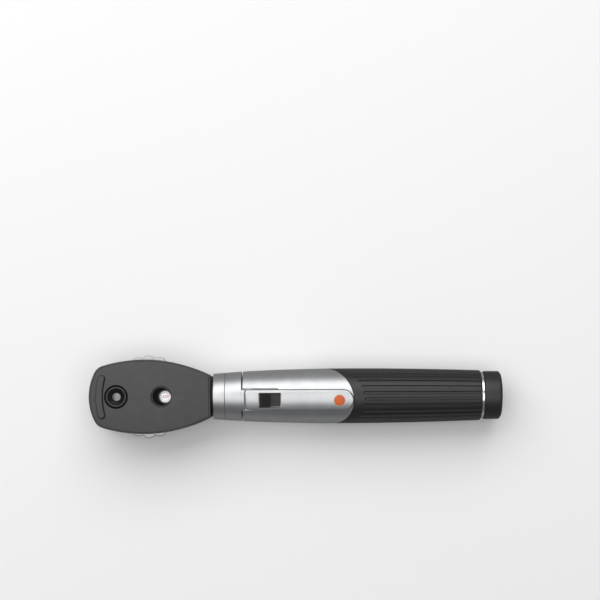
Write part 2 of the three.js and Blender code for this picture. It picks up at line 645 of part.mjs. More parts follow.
function headScrew([x, y]) {
  const { shank, head, headTop, headBottom, end } = SCREW;
  const body = turnedZ([
    [0, headBottom], [head, headBottom], [head, headTop], [shank, headTop], [shank, end], [0, end],
  ], 16);
  const slot = block([-0.3, 0.3], [-1.2, 1.2], [-BEYOND, headBottom + 0.6]);
  return cut(body, slot).translate(x, y, 0);
}

// ---- Head: lens wheel -----------------------------------------------------------------------

const aroundCircle = (count, place) =>
  Array.from({ length: count }, (_, i) => place((i * 2 * Math.PI) / count, i));

const onWheel = (geometry, circle, angle) =>
  geometry.translate(WHEEL.x + circle * Math.cos(angle), circle * Math.sin(angle), 0);

/** Plan of the finger wheel: a rim of rounded lobes that meet in sharp hollows. */
function wheelPlan() {
  const perScallop = 6;
  const points = aroundCircle(WHEEL.scallops * perScallop, (angle, i) => {
    const step = i % perScallop;
    const across = (step <= perScallop / 2 ? step : perScallop - step) / perScallop;
    const radius = WHEEL.radius - WHEEL.scallopDepth * (2 * across) ** 2;
    return new THREE.Vector2(radius * Math.cos(angle), radius * Math.sin(angle));
  });
  return new THREE.Shape(points);
}

function lensWheel() {
  const lensHoles = aroundCircle(WHEEL.lenses, (angle) =>
    onWheel(rodZ(0, BEYOND, WHEEL.lensRadius, 8), LENS_CIRCLE, angle));
  const bore = rodZ(0, BEYOND, WHEEL.bore).translate(WHEEL.x, 0, 0);
  const disc = plate(wheelPlan(), WHEEL.bottom, WHEEL.top).translate(WHEEL.x, 0, 0);
  return cut(disc, bore, ...lensHoles);
}

const wheelRing = (inner, outer, z0, z1) =>
  turnedZ([[inner, z0], [outer, z0], [outer, z1], [inner, z1]], 36).translate(WHEEL.x, 0, 0);

const lensRing = () =>
  wheelRing(LENS_CIRCLE - 1.9, LENS_CIRCLE + 1.9, WHEEL.bottom - 0.6, WHEEL.bottom - 0.05);

const numberDisc = () =>
  wheelRing(NUMBER_DISC.inner, NUMBER_DISC.outer, NUMBER_DISC.bottom, NUMBER_DISC.top);

function wheelAxle() {
  const { radius, bottom, top, groove, grooveBottom, grooveTop } = AXLE;
  return turnedZ([
    [0, bottom], [radius, bottom], [radius, grooveBottom], [groove, grooveBottom],
    [groove, grooveTop], [radius, grooveTop], [radius, top], [0, top],
  ]).translate(WHEEL.x, 0, 0);
}

/** The spring clip in the axle's groove, open on one side. */
function wheelAxleClip() {
  const { outer, mouth, play } = AXLE_CLIP;
  const [inner, z0, z1] = [AXLE.groove + FIT, AXLE.grooveBottom + play, AXLE.grooveTop - play];
  const ring = turnedZ([[inner, z0], [outer, z0], [outer, z1], [inner, z1]]);
  return cut(ring, block([0, 2 * outer], [-mouth, mouth], [0, BEYOND])).translate(WHEEL.x, 0, 0);
}

const detentBall = () =>
  new THREE.SphereGeometry(DETENT.radius, 12, 8).translate(DETENT.x, 0, DETENT.z);

function detentSpring() {
  const { front, rear, halfWidth, bottom, top } = DETENT_SPRING;
  return block([front, rear], [-halfWidth, halfWidth], [bottom, top]);
}

// ---- Head: light path -----------------------------------------------------------------------

const apertureWheelRoom = (margin) =>
  rodX(
    APERTURES.x - APERTURES.thick / 2 - margin,
    APERTURES.x + APERTURES.thick / 2 + margin,
    APERTURES.radius + margin,
    32,
  ).translate(0, 0, APERTURES.z);

function apertureAxle(margin = 0) {
  const { front, rear, radius } = APERTURE_AXLE;
  return rodX(front - margin, rear + margin, radius + margin, 16).translate(0, 0, APERTURES.z);
}

/** The tube that carries the lenses, the aperture wheel's axle and the mirror. */
function opticsFrame() {
  const { front, rear, outer, bore, z } = OPTICS;
  const tube = tubeX(front, rear, outer, bore, FINE).translate(0, 0, z);
  const { places, halfLength, halfWidth, bottom, top } = LUG;
  const lugs = places.map((x) =>
    block([x - halfLength, x + halfLength], [-halfWidth, halfWidth], [bottom, top]));
  const reach = 12;
  const beyondMirror = slab([
    [MIRROR.x + reach - 0.2, OPTICS.z + reach],
    [MIRROR.x - reach - 0.2, OPTICS.z - reach],
    [MIRROR.x - 3 * reach, OPTICS.z - reach],
    [MIRROR.x - 3 * reach, OPTICS.z + reach],
  ], reach);
  return cut(
    join(tube, ...lugs),
    beyondMirror,
    rodZ(-10, OPTICS.z, 2.6).translate(MIRROR.x, 0, 0),
    apertureWheelRoom(0.3),
    apertureAxle(FIT),
  );
}

function mirror() {
  const { length, width, thick, x } = MIRROR;
  const away = (thick / 2 + 0.35) / Math.SQRT2;
  return new THREE.BoxGeometry(thick, width, length)
    .rotateY(Math.PI / 4)
    .translate(x - away, 0, OPTICS.z + away);
}

/** A lens on the light path that is thicker in the middle, between x0 and x1. */
function lightLens([x0, x1]) {
  const { radius, bulge } = LIGHT_LENS;
  return turnedX([
    [x0, 0], [x0 + bulge * 0.3, radius * 0.6], [x0 + bulge, radius],
    [x1 - bulge, radius], [x1 - bulge * 0.3, radius * 0.6], [x1, 0],
  ], FINE).translate(0, 0, OPTICS.z);
}

function lampSleeve() {
  const { front, rear, outer, inner } = LAMP_SLEEVE;
  return tubeX(front, rear, outer, inner, FINE);
}

/** The lamp: a domed bulb in a metal cap with a contact stud. */
function lampBulb() {
  const { tip, bulb, capFront, cap, capRear, stud, end } = LAMP;
  return turnedX([
    [tip, 0], [tip + 0.3, bulb * 0.55], [tip + 1.3, bulb * 0.9], [capFront, bulb], [capFront, cap],
    [capRear, cap], [capRear + 0.6, stud], [end, stud], [end, 0],
  ], 16);
}

/** The head's neck: a boss locked in the shells, a flange behind them and a threaded spigot. */
function headBase() {
  const { front, rear, bore, boss, spigot } = HEAD_BASE;
  return turnedX([
    [front, bore], [front, boss], [LOCK.front, boss], [LOCK.front, LOCK.radius],
    [LOCK.rear, LOCK.radius], [LOCK.rear, boss], [FLANGE.front, boss], [FLANGE.front, FLANGE.radius],
    [FLANGE.rear, FLANGE.radius], [FLANGE.rear, spigot], [rear, spigot], [rear, bore],
  ], FINE);
}

function headCollar() {
  const { front, rear, bore } = COLLAR;
  return turnedX([
    [front, bore], [front, neckRadius(front)], [rear, neckRadius(rear)], [rear, bore],
  ]);
}

/** Moves a geometry from the axis onto a circle of the aperture wheel. */
const onApertures = (geometry, circle, angle) =>
  geometry.translate(0, circle * Math.sin(angle), APERTURES.z + circle * Math.cos(angle));

const filterAngle = (FILTER.place * 2 * Math.PI) / APERTURES.openings.length;

function apertureWheel() {
  const { x, thick, radius, circle, teeth, tooth, openings, z } = APERTURES;
  const [front, rear] = [x - thick, x + thick];
  const disc = rodX(x - thick / 2, x + thick / 2, radius, 32).translate(0, 0, z);
  const holes = aroundCircle(openings.length, (angle, i) =>
    onApertures(rodX(front, rear, openings[i], 8), circle, angle));
  const recess = rodX(x + FILTER.from - 0.05, rear, FILTER.radius + FIT, 12);
  const seat = onApertures(recess, circle, filterAngle);
  const knurls = aroundCircle(teeth, (angle) =>
    onApertures(rodX(front, rear, tooth, 4), radius + 0.1, angle));
  return cut(disc, apertureAxle(FIT), seat, ...holes, ...knurls);
}

function redFreeFilter() {
  const x0 = APERTURES.x + FILTER.from;
  return onApertures(rodX(x0, x0 + FILTER.thick, FILTER.radius, 12), APERTURES.circle, filterAngle);
}

// ---- Assembly -------------------------------------------------------------------------------

const head = groupOf(
  part('head_rear_shell', headRearShell(), matteBlack()),
  part('head_front_shell', headFrontShell(), matteBlack()),
  part('brow_rest', browRest(), matteBlack()),
  part('eyepiece_ring', eyepieceRing(), matteBlack()),
  part('window_bezel', windowBezel(), matteBlack()),
  part('window_lens', windowLens(), glass()),
  part('patient_window', patientWindow(), glass()),
  part('mirror', mirror(), chrome()),
  part('optics_frame', opticsFrame(), matteBlack()),
  part('condenser_lens', lightLens(LIGHT_LENS.condenser), glass()),
  part('projection_lens', lightLens(LIGHT_LENS.projection), glass()),
  part('lamp_sleeve', lampSleeve(), brass()),
  part('lamp_bulb', lampBulb(), steel()),
  part('head_base', headBase(), switchBlack()),
  part('head_collar', headCollar(), satinSilver()),
  part('wheel_axle', wheelAxle(), steel()),
  part('wheel_axle_clip', wheelAxleClip(), steel()),
  part('detent_ball', detentBall(), steel()),
  part('detent_spring', detentSpring(), steel()),
  part('aperture_axle', apertureAxle(), steel()),
  ...SCREWS.map((place, i) => part(`head_screw_${i + 1}`, headScrew(place), steel())),
  part('lens_wheel', lensWheel(), satinSilver()),
  part('lens_ring', lensRing(), glass()),
  part('number_disc', numberDisc(), material(0xf2f2ee, 0.5, 0)),
  part('aperture_wheel', apertureWheel(), gripBlack()),
  part('red_free_filter', redFreeFilter(), material(0x3f9a58, 0.1, 0)),
);

const handle = groupOf(
  part('clip_ring', clipRing(), satinSilver()),
  part('upper_shell', upperShell(), satinSilver()),
  part('grip_shell', gripShell(), gripBlack()),
  part('battery_tube', batteryTube(), brass()),
  part('contact_insulator', contactInsulator(), switchBlack()),
  part('chrome_ring', chromeRing(), chrome()),
  part('contact_pin', contactPin(), brass()),
  part('battery_front', cell(FRONT_CELL_END), material(0x3d5a78, 0.4, 0.3)),
  part('battery_rear', cell(CELL.rearEnd), material(0x3d5a78, 0.4, 0.3)),
  part('battery_spring', batterySpring(), steel()),
  part('spring_seat', springSeat(), brass()),
  part('end_cap', endCap(), gripBlack()),
  part('switch_frame', switchFrame(), switchBlack()),
  part('switch_contact', switchContact(), brass()),
  part('switch_slider', switchSlider(), switchBlack()),
  part('clip_pin', clipPin(), steel()),
  part('clip_spring', clipSpring(), steel()),
  part('pocket_clip', pocketClip(), satinSilver()),
  part('badge', badgeDisc(BADGE.radius, BADGE.deep), material(0xd2691e, 0.45, 0)),
);
handle.rotation.x = HANDLE_ROLL;

const group = groupOf(head, handle);

export default group;
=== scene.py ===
"""Direct ophthalmoscope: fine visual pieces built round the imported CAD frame."""

import json
import math

import bmesh
import bpy
from mathutils import Matrix, Vector

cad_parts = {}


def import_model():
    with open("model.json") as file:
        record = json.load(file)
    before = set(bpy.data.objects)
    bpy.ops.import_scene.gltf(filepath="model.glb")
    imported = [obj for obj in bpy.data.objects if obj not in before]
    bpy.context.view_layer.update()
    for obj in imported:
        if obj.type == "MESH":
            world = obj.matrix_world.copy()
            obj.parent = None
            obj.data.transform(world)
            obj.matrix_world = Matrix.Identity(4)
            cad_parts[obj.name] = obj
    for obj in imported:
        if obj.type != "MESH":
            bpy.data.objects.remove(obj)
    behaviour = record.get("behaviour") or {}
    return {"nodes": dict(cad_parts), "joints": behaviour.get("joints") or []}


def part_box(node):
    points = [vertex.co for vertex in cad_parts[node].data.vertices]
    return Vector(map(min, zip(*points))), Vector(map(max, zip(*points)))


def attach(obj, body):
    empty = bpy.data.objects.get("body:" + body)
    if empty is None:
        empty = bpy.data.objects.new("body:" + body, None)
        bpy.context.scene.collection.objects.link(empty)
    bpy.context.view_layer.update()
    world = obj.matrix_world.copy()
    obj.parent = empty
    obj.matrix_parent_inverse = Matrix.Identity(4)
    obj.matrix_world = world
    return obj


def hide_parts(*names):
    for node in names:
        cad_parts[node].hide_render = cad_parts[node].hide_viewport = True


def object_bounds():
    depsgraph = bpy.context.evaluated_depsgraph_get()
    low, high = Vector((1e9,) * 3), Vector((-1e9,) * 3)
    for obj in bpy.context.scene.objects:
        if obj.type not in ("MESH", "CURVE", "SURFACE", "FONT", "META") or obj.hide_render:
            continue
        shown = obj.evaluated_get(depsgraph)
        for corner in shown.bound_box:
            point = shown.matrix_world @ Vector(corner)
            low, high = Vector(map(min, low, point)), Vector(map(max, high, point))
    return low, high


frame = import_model()
cad_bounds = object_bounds()

# ---- Frame measures, in millimetres ----

MM = 0.001
JOINTS = {joint["name"]: joint for joint in frame["joints"]}


def corners_of(node):
    """Lowest and highest corner of a CAD node, in millimetres."""
    low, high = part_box(node)
    return low / MM, high / MM


def centre_of(node):
    """Middle of a CAD node's box, in millimetres."""
    low, high = corners_of(node)
    return (low + high) / 2


CLIP_AXIS = JOINTS["clip_flex"]["axis"]
ROLL = Matrix.Rotation(math.atan2(-CLIP_AXIS[2], -CLIP_AXIS[1]), 4, "X")
STILL = Matrix.Identity(4)

REAR_LOW, REAR_HIGH = corners_of("head_rear_shell")
FRONT_LOW, FRONT_HIGH = corners_of("head_front_shell")
HEAD_TIP, HEAD_BASE, HEAD_HALF = REAR_LOW.x, REAR_HIGH.x, REAR_HIGH.y
FACE = REAR_HIGH.z
SEAM = REAR_LOW.z
BACK = FRONT_LOW.z
SIGHT_X = centre_of("eyepiece_ring").x
WHEEL_X = JOINTS["lens_wheel_spin"]["pos_m"][0] / MM
WHEEL_LOW, WHEEL_HIGH = corners_of("lens_wheel")
WHEEL_RADIUS = (WHEEL_HIGH.x - WHEEL_LOW.x) / 2
DISC_TOP = corners_of("number_disc")[1].z
BEZEL_LOW, BEZEL_HIGH = corners_of("window_bezel")
BEZEL_X, BEZEL_RADIUS = (BEZEL_LOW.x + BEZEL_HIGH.x) / 2, (BEZEL_HIGH.x - BEZEL_LOW.x) / 2
SHELL_FRONT = corners_of("upper_shell")[0].x
GRIP_REAR = corners_of("grip_shell")[1].x
CLIP_FRONT = corners_of("pocket_clip")[0].x
PIN_X = JOINTS["clip_flex"]["pos_m"][0] / MM

# ---- Sizes that the frame doesn't state ----

CREST_X, SIDE_RADIUS, TIP_RADIUS, TIP_CORNER, BASE_CORNER = -152.0, 60.0, 23.0, 5.5, 1.6
WALL = 1.5
WIDEST_X, MAX_RADIUS, FRONT_RADIUS, REAR_RADIUS = -68.0, 11.78, 10.66, 10.7
BORE = 8.7
SPLIT_TOP_X, SPLIT_TOP_Z, SPLIT_SLOPE = -63.3, 11.7, 0.9
COLLAR_FRONT_RADIUS = 9.76
CLIP_HALF, CLIP_CORNER, CLIP_THICK, CLIP_CROWN = 4.4, 1.3, 1.9, 0.7
CLIP_TOP_FRONT, CLIP_TOP_REAR = 11.5, 12.45
CLIP_UNDER, CLIP_GAP = 0.35, 0.2
RELIEF_END = -95.4
CLIP_NOSE = 1.7
GROOVES, GROOVE_HALF, GROOVE_DEEP, GROOVE_SOFT, GROOVE_START = 28, 0.55, 0.5, 0.24, 4.5
GROOVE_CIRCLE, GROOVE_PHASE = 11.4, math.radians(2)
SWITCH_HALF, SWITCH_FOOT, SWITCH_GAP = 2.85, 9.2, 0.1
SMOOTH_ANGLE = 32

# ---- Mesh tools ----


def add_object(name, data):
    """A new object in the scene."""
    obj = bpy.data.objects.new(name, data)
    bpy.context.scene.collection.objects.link(obj)
    return obj


def finish_mesh(obj, smooth_angle):
    """Smooth shading that leaves edges sharper than the angle in degrees."""
    mesh = obj.data
    mesh.polygons.foreach_set("use_smooth", [True] * len(mesh.polygons))
    mesh.set_sharp_from_angle(angle=math.radians(smooth_angle))
    mesh.update()


def clean(mesh):
    """Joins points that coincide, and drops faces and edges that this leaves without size."""
    work = bmesh.new()
    work.from_mesh(mesh)
    bmesh.ops.remove_doubles(work, verts=work.verts, dist=1e-7)
    bmesh.ops.dissolve_degenerate(work, dist=1e-8, edges=work.edges)
    bmesh.ops.delete(work, geom=[edge for edge in work.edges if not edge.link_faces], context="EDGES")
    bmesh.ops.recalc_face_normals(work, faces=work.faces)
    work.to_mesh(mesh)
    work.free()


def make(name, points, faces, material, turn=STILL, smooth_angle=SMOOTH_ANGLE):
    """A mesh object from points in millimetres, cleaned and with its faces turned outwards."""
    mesh = bpy.data.meshes.new(name)
    mesh.from_pydata([turn @ Vector(p) * MM for p in points], [], faces)
    clean(mesh)
    obj = add_object(name, mesh)
    if material:
        mesh.materials.append(material)
    finish_mesh(obj, smooth_angle)
    return obj


def bake(obj):
    """Applies an object's modifiers to its mesh."""
    bpy.context.view_layer.update()
    evaluated = obj.evaluated_get(bpy.context.evaluated_depsgraph_get())
    mesh = bpy.data.meshes.new_from_object(evaluated)
    clean(mesh)
    obj.modifiers.clear()
    obj.data = mesh
    finish_mesh(obj, SMOOTH_ANGLE)


def combine(obj, tool, operation="DIFFERENCE"):
    """Cuts the tool out of the object, or joins it on, and removes the tool."""
    modifier = obj.modifiers.new("combine", "BOOLEAN")
    modifier.operation = operation
    modifier.solver = "EXACT"
    modifier.object = tool
    bake(obj)
    bpy.data.objects.remove(tool)


def soften(obj, width, segments, angle):
    """Rounds the sharp edges that the cuts left, by a width in millimetres."""
    modifier = obj.modifiers.new("soften", "BEVEL")
    modifier.width = width * MM
    modifier.segments = segments
    modifier.limit_method = "ANGLE"
    modifier.angle_limit = math.radians(angle)
    modifier.harden_normals = True
    modifier.use_clamp_overlap = True


def paint(obj, choose, *materials):
    """Adds materials and gives each face the one that choose picks by its centre and normal."""
    for material in materials:
        obj.data.materials.append(material)
    for face in obj.data.polygons:
        face.material_index = choose(face.center / MM, face.normal)


def grid_faces(columns, rows, closed=True):
    """Quads between columns of points that follow each other, with rows points in each."""
    faces = []
    for c in range(columns if closed else columns - 1):
        d = (c + 1) % columns
        for r in range(rows):
            s = (r + 1) % rows
            faces.append((c * rows + r, d * rows + r, d * rows + s, c * rows + s))
    return faces


def filleted(corners, step=15):
    """A closed outline through corners (a, b, radius), with each corner rounded by its radius."""
    outline = []
    for i, (a, b, radius) in enumerate(corners):
        here = Vector((a, b))
        if not radius:
            outline.append(here)
            continue
        before = (Vector(corners[i - 1][:2]) - here).normalized()
        after = (Vector(corners[(i + 1) % len(corners)][:2]) - here).normalized()
        half = before.angle(after) / 2
        centre = here + (before + after).normalized() * (radius / math.sin(half))
        start = here + before * (radius / math.tan(half)) - centre
        end = here + after * (radius / math.tan(half)) - centre
        sweep = math.atan2(start.x * end.y - start.y * end.x, start.dot(end))
        count = max(1, math.ceil(abs(math.degrees(sweep)) / step))
        for k in range(count + 1):
            outline.append(centre + Matrix.Rotation(sweep * k / count, 2) @ start)
    return outline


def turned(name, corners, material, axis="X", centre=(0, 0, 0), segments=160, turn=STILL):
    """A turned solid from a closed loop of (place along the axis, radius, corner radius)."""
    loop = filleted(corners)
    points = []
    for k in range(segments):
        angle = math.tau * k / segments
        for along, radius in loop:
            a, b = radius * math.sin(angle), radius * math.cos(angle)
            spot = (along, a, b) if axis == "X" else (a, b, along)
            points.append(Vector(spot) + Vector(centre))
    return make(name, points, grid_faces(segments, len(loop)), material, turn)


def rod(name, low, high, radius, centre=(0, 0, 0), segments=96, turn=STILL):
    """A plain round bar along X."""
    corners = [(low, 0, 0), (low, radius, 0), (high, radius, 0), (high, 0, 0)]
    return turned(name, corners, None, "X", centre, segments, turn)


def rings_solid(name, rings, material, turn=STILL):
    """A solid through a stack of equal-length rings, closed by a flat face at each end."""
    count = len(rings[0])
    points = [p for ring in rings for p in ring]
    faces = []
    for r in range(len(rings) - 1):
        for i in range(count):
            j = (i + 1) % count
            faces.append((r * count + i, r * count + j, (r + 1) * count + j, (r + 1) * count + i))
    faces.append(tuple(range(count)))
    faces.append(tuple(range((len(rings) - 1) * count, len(rings) * count)))
    return make(name, points, faces, material, turn)


def prism(name, outline, low, high, material=None, turn=STILL):
    """A solid between two heights, each a number or a function of (x, y)."""
    rings = []
    for height in (low, high):
        rings.append([(x, y, height(x, y) if callable(height) else height) for x, y in outline])
    return rings_solid(name, rings, material, turn)


def rectangle(xs, ys, radius=0):
    """The outline of a rectangle whose corners are rounded by a radius."""
    return filleted([(xs[i], ys[j], radius) for i, j in ((0, 0), (1, 0), (1, 1), (0, 1))])


def span(middle, half):
    """The two ends of a stretch with a given middle."""
    return (middle - half, middle + half)


def block(name, xs, ys, zs, material=None, turn=STILL):
    """A box between two values of each coordinate."""
    return prism(name, rectangle(xs, ys), *zs, material, turn)


def circle(x, y, radius, count=64):
    """The outline of a circle."""
    steps = [math.tau * k / count for k in range(count)]
    return [(x + radius * math.cos(a), y + radius * math.sin(a)) for a in steps]


# ---- Materials ----

GRAIN, LACQUER_GRAIN = 0.18, 0.25


def srgb(level):
    """The linear value of a screen level from 0 to 255."""
    level /= 255
    return level / 12.92 if level <= 0.04045 else ((level + 0.055) / 1.055) ** 2.4


def colour(red, green, blue):
    """A linear colour from three screen levels."""
    return (srgb(red), srgb(green), srgb(blue), 1)


def fill(node, **values):
    """Sets a node's inputs, named with _ in place of spaces."""
    for key, value in values.items():
        node.inputs[key.replace("_", " ")].default_value = value


class Nodes:
    """A small helper that builds one node material."""

    def __init__(self, name):
        self.material = bpy.data.materials.new(name)
        self.material.use_nodes = True
        self.tree = self.material.node_tree
        self.shader = self.tree.nodes["Principled BSDF"]
        self.output = self.tree.nodes["Material Output"]
        self.place = self.add("ShaderNodeTexCoord").outputs["Object"]

    def add(self, kind, **values):
        node = self.tree.nodes.new(kind)
        for key, value in values.items():
            setattr(node, key, value)
        return node

    def link(self, source, target):
        self.tree.links.new(source, target)

    def noise(self, size, detail=3):
        """Noise whose features are about size millimetres across."""
        node = self.add("ShaderNodeTexNoise")
        fill(node, Scale=1 / (size * MM), Detail=detail)
        self.link(self.place, node.inputs["Vector"])
        return node.outputs["Fac"]

    def spread(self, source, low, high):
        """Noise stretched to run from low to high."""
        node = self.add("ShaderNodeMapRange")
        fill(node, From_Min=0.3, From_Max=0.7, To_Min=low, To_Max=high)
        self.link(source, node.inputs["Value"])
        return node.outputs["Result"]

    def tint(self, source, first, second):
        """A base colour that runs between two colours of screen levels."""
        node = self.add("ShaderNodeMix", data_type="RGBA")
        fill(node, A=colour(*first), B=colour(*second))
        self.link(source, node.inputs["Factor"])
        self.link(node.outputs["Result"], self.shader.inputs["Base Color"])

    def bump(self, source, height):
        """Bump of the given height in millimetres."""
        node = self.add("ShaderNodeBump")
        fill(node, Strength=1, Distance=height * MM)
        self.link(source, node.inputs["Height"])
        self.link(node.outputs["Normal"], self.shader.inputs["Normal"])

    def pass_through(self, where, tint=(255, 255, 255)):
        """Lets rays straight through wherever a value is one."""
        passing = self.add("ShaderNodeBsdfTransparent")
        fill(passing, Color=colour(*tint))
        mixed = self.add("ShaderNodeMixShader")
        self.link(where, mixed.inputs["Fac"])
        self.link(self.shader.outputs["BSDF"], mixed.inputs[1])
        self.link(passing.outputs["BSDF"], mixed.inputs[2])
        self.link(mixed.outputs["Shader"], self.output.inputs["Surface"])


def plastic(name, dark, light, rough, height=0.012, specular=0.5):
    """Spark-eroded moulded plastic: fine grain, faint mottling and slightly uneven gloss."""
    nodes = Nodes(name)
    nodes.tint(nodes.spread(nodes.noise(3.5, 4), 0, 1), dark, light)
    gloss = nodes.spread(nodes.noise(1.2), rough - 0.04, rough + 0.04)
    nodes.link(gloss, nodes.shader.inputs["Roughness"])
    nodes.bump(nodes.noise(GRAIN, 2), height)
    fill(nodes.shader, Specular_IOR_Level=specular)
    return nodes.material


def metal(name, dark, light, rough, metallic=1.0, height=0.003):
    """Metal or metal lacquer with a fine texture and faintly uneven gloss."""
    nodes = Nodes(name)
    nodes.tint(nodes.spread(nodes.noise(5), 0, 1), dark, light)
    texture = nodes.noise(LACQUER_GRAIN)
    nodes.link(nodes.spread(texture, rough - 0.03, rough + 0.03), nodes.shader.inputs["Roughness"])
    nodes.bump(texture, height)
    fill(nodes.shader, Metallic=metallic)
    return nodes.material


def clear(name, tint=(255, 255, 255), ior=1.49, share=1.0):
    """Glass that lets shadow rays through, so that what lies behind it is lit."""
    nodes = Nodes(name)
    fill(nodes.shader, Transmission_Weight=share, IOR=ior, Roughness=0)
    nodes.tint(nodes.spread(nodes.noise(4), 0, 1), tint, tint)
    nodes.pass_through(nodes.add("ShaderNodeLightPath").outputs["Is Shadow Ray"], tint)
    return nodes.material


# The head's plastic, also laid on the eyepiece lip and the window cup's upward faces as a painted
# highlight.
HEAD_PLASTIC_AND_PAINTED_HIGHLIGHT = plastic("head_plastic", (63, 63, 63), (68, 68, 68), 0.56)
GRIP_PLASTIC = plastic("grip_plastic", (33, 32, 32), (37, 36, 36), 0.42)
CAP_PLASTIC = plastic("cap_plastic", (33, 32, 32), (37, 36, 36), 0.45)
# Gloss black plastic, also laid on the brow rest's steep sides and the eyepiece's cone as painted
# shade.
GLOSS_BLACK_AND_PAINTED_SHADE = plastic("gloss_black_and_painted_shade", (22, 22, 22), (27, 27, 27), 0.28, height=0.004)
# Painted shade: a near-black laid on the floors of wells and deep hollows.
PAINTED_SHADE_BLACK = plastic("painted_shade_black", (10, 10, 10), (14, 14, 14), 0.7, specular=0.1)
DEEP_BLACK = plastic("deep_black", (17, 17, 17), (22, 22, 22), 0.5)
# Painted shade: the battery tube made dark so that the gaps round it read as shadow.
TUBE_PAINTED_SHADE = metal("tube_painted_shade", (40, 40, 42), (48, 48, 50), 0.45)
SWITCH_FLOOR = plastic("switch_floor", (44, 44, 44), (49, 49, 49), 0.6)
SILVER = metal("satin_silver", (190, 191, 192), (198, 199, 200), 0.4)
CLIP_SILVER = metal("clip_silver", (188, 190, 190), (197, 198, 199), 0.38)
WHEEL_SILVER = metal("wheel_silver", (176, 177, 179), (188, 189, 191), 0.45, 0.8)
CHROME = metal("chrome", (224, 225, 228), (232, 233, 235), 0.2, height=0.0004)
STEEL = metal("steel", (160, 160, 163), (176, 176, 178), 0.3)
BRASS = metal("brass", (178, 142, 82), (192, 158, 96), 0.35)
ORANGE = plastic("badge_enamel", (214, 92, 26), (219, 99, 32), 0.35, height=0.004)
WHITE = plastic("disc_white", (225, 226, 228), (232, 233, 234), 0.5, height=0.003)
INK_RED = plastic("ink_red", (190, 60, 48), (196, 66, 52), 0.6, height=0.003)
INK_BLACK = plastic("ink_black", (30, 30, 32), (36, 36, 38), 0.6, height=0.003)
GLASS = clear("clear_glass")
MAGNIFIER = clear("magnifier_glass", ior=1.7)
# Painted light: glass that is partly white, so the sight hole through the lens ring reads lit grey.
GLASS_PAINTED_LIGHT = clear("glass_painted_light", share=0.35)
GREEN_GLASS = clear("green_glass", (90, 200, 120))
MIRROR = metal("mirror_face", (235, 236, 238), (240, 241, 243), 0.04, height=0.0)
JACKET = plastic("cell_jacket", (40, 70, 104), (46, 76, 110), 0.3, height=0.002)

# ---- Shared shapes ----


def circle_crossing(first, first_radius, second, second_radius):
    """The crossing of two circles that lies furthest towards -X."""
    between = second - first
    along = (between.length**2 + first_radius**2 - second_radius**2) / (2 * between.length)
    across = math.sqrt(first_radius**2 - along**2)
    direction = between.normalized()
    foot = first + direction * along
    side = Vector((-direction.y, direction.x)) * across
    return min(foot + side, foot - side, key=lambda p: p.x)


def head_outline():
    """Points and outward normals round the head's plan, all of it arcs and one straight end."""
    side = Vector((CREST_X, HEAD_HALF - SIDE_RADIUS))
    tip = Vector((HEAD_TIP + TIP_RADIUS, 0))
    corner = circle_crossing(side, SIDE_RADIUS - TIP_CORNER, tip, TIP_RADIUS - TIP_CORNER)
    base_x = HEAD_BASE - BASE_CORNER
    reach = SIDE_RADIUS - BASE_CORNER
    base = Vector((base_x, side.y + math.sqrt(reach**2 - (base_x - side.x) ** 2)))

    def angle(centre, point):
        return math.atan2(point.y - centre.y, point.x - centre.x)

    side_start, side_end, tip_start = angle(side, base), angle(side, corner), angle(tip, corner)
    arcs = [
        (base, BASE_CORNER, 0, side_start, 8),
        (side, SIDE_RADIUS, side_start, side_end, 40),
        (corner, TIP_CORNER, side_end, tip_start, 10),
        (tip, TIP_RADIUS, tip_start, math.pi, 20),
    ]
    half = []
    for centre, radius, start, end, count in arcs:
        for k in range(count):
            a = start + (end - start) * k / count
            normal = Vector((math.cos(a), math.sin(a)))
            half.append((centre + normal * radius, normal))
    flip = Vector((1, -1))
    other = [(p * flip, n * flip) for p, n in reversed(half)]
    return half + [(Vector((HEAD_TIP, 0)), Vector((-1, 0)))] + other


OUTLINE = head_outline()


def head_rings(profile):
    """Rings round the head's plan for a profile of (inset, z)."""
    return [[(*(p - n * inset), z) for p, n in OUTLINE] for inset, z in profile]


def rounding(radius, inset, z, direction, steps=5):
    """A quarter round that turns a wall at inset into a face at z."""
    turns = [math.pi / 2 * k / steps for k in range(steps + 1)]
    return [
        (inset + radius * (1 - math.cos(a)), z - direction * radius * (1 - math.sin(a)))
        for a in turns
    ]


def barrel_radius(x):
    """Radius of the handle, widest at WIDEST_X and falling off as a square to each end."""
    end, end_radius = (SHELL_FRONT, FRONT_RADIUS) if x < WIDEST_X else (GRIP_REAR, REAR_RADIUS)
    return MAX_RADIUS - (MAX_RADIUS - end_radius) * ((x - WIDEST_X) / (end - WIDEST_X)) ** 2


def neck_radius(x):
    """Radius of the head collar and the clip ring, which widen towards the handle."""
    front = corners_of("head_collar")[0].x
    share = (x - front) / (SHELL_FRONT - front)
    return COLLAR_FRONT_RADIUS + (FRONT_RADIUS - COLLAR_FRONT_RADIUS) * share


def split_x(z):
    """Where the slanted joint between the shells lies at a height."""
    return SPLIT_TOP_X - SPLIT_SLOPE * (SPLIT_TOP_Z - z)


def clip_top(x):
    """Height of the clip's ridge, which rises towards the tail."""
    rise = (CLIP_TOP_REAR - CLIP_TOP_FRONT) / (SPLIT_TOP_X - CLIP_FRONT)
    return CLIP_TOP_FRONT + rise * (x - CLIP_FRONT)


def clip_under(x):
    """Height of the clip's flat underside."""
    return clip_top(x) - CLIP_THICK


def edge_drop(distance, radius):
    """How far a rounded edge lies under its face at a distance from the edge."""
    if distance >= radius:
        return 0
    return radius - math.sqrt(max(radius**2 - (radius - distance) ** 2, 0))


def place(obj, body, slot, *nodes):
    """Puts a piece on a body, in place of CAD nodes; the slot is not used."""
    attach(obj, body)
    if nodes:
        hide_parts(*nodes)


# ---- Head: shells ----

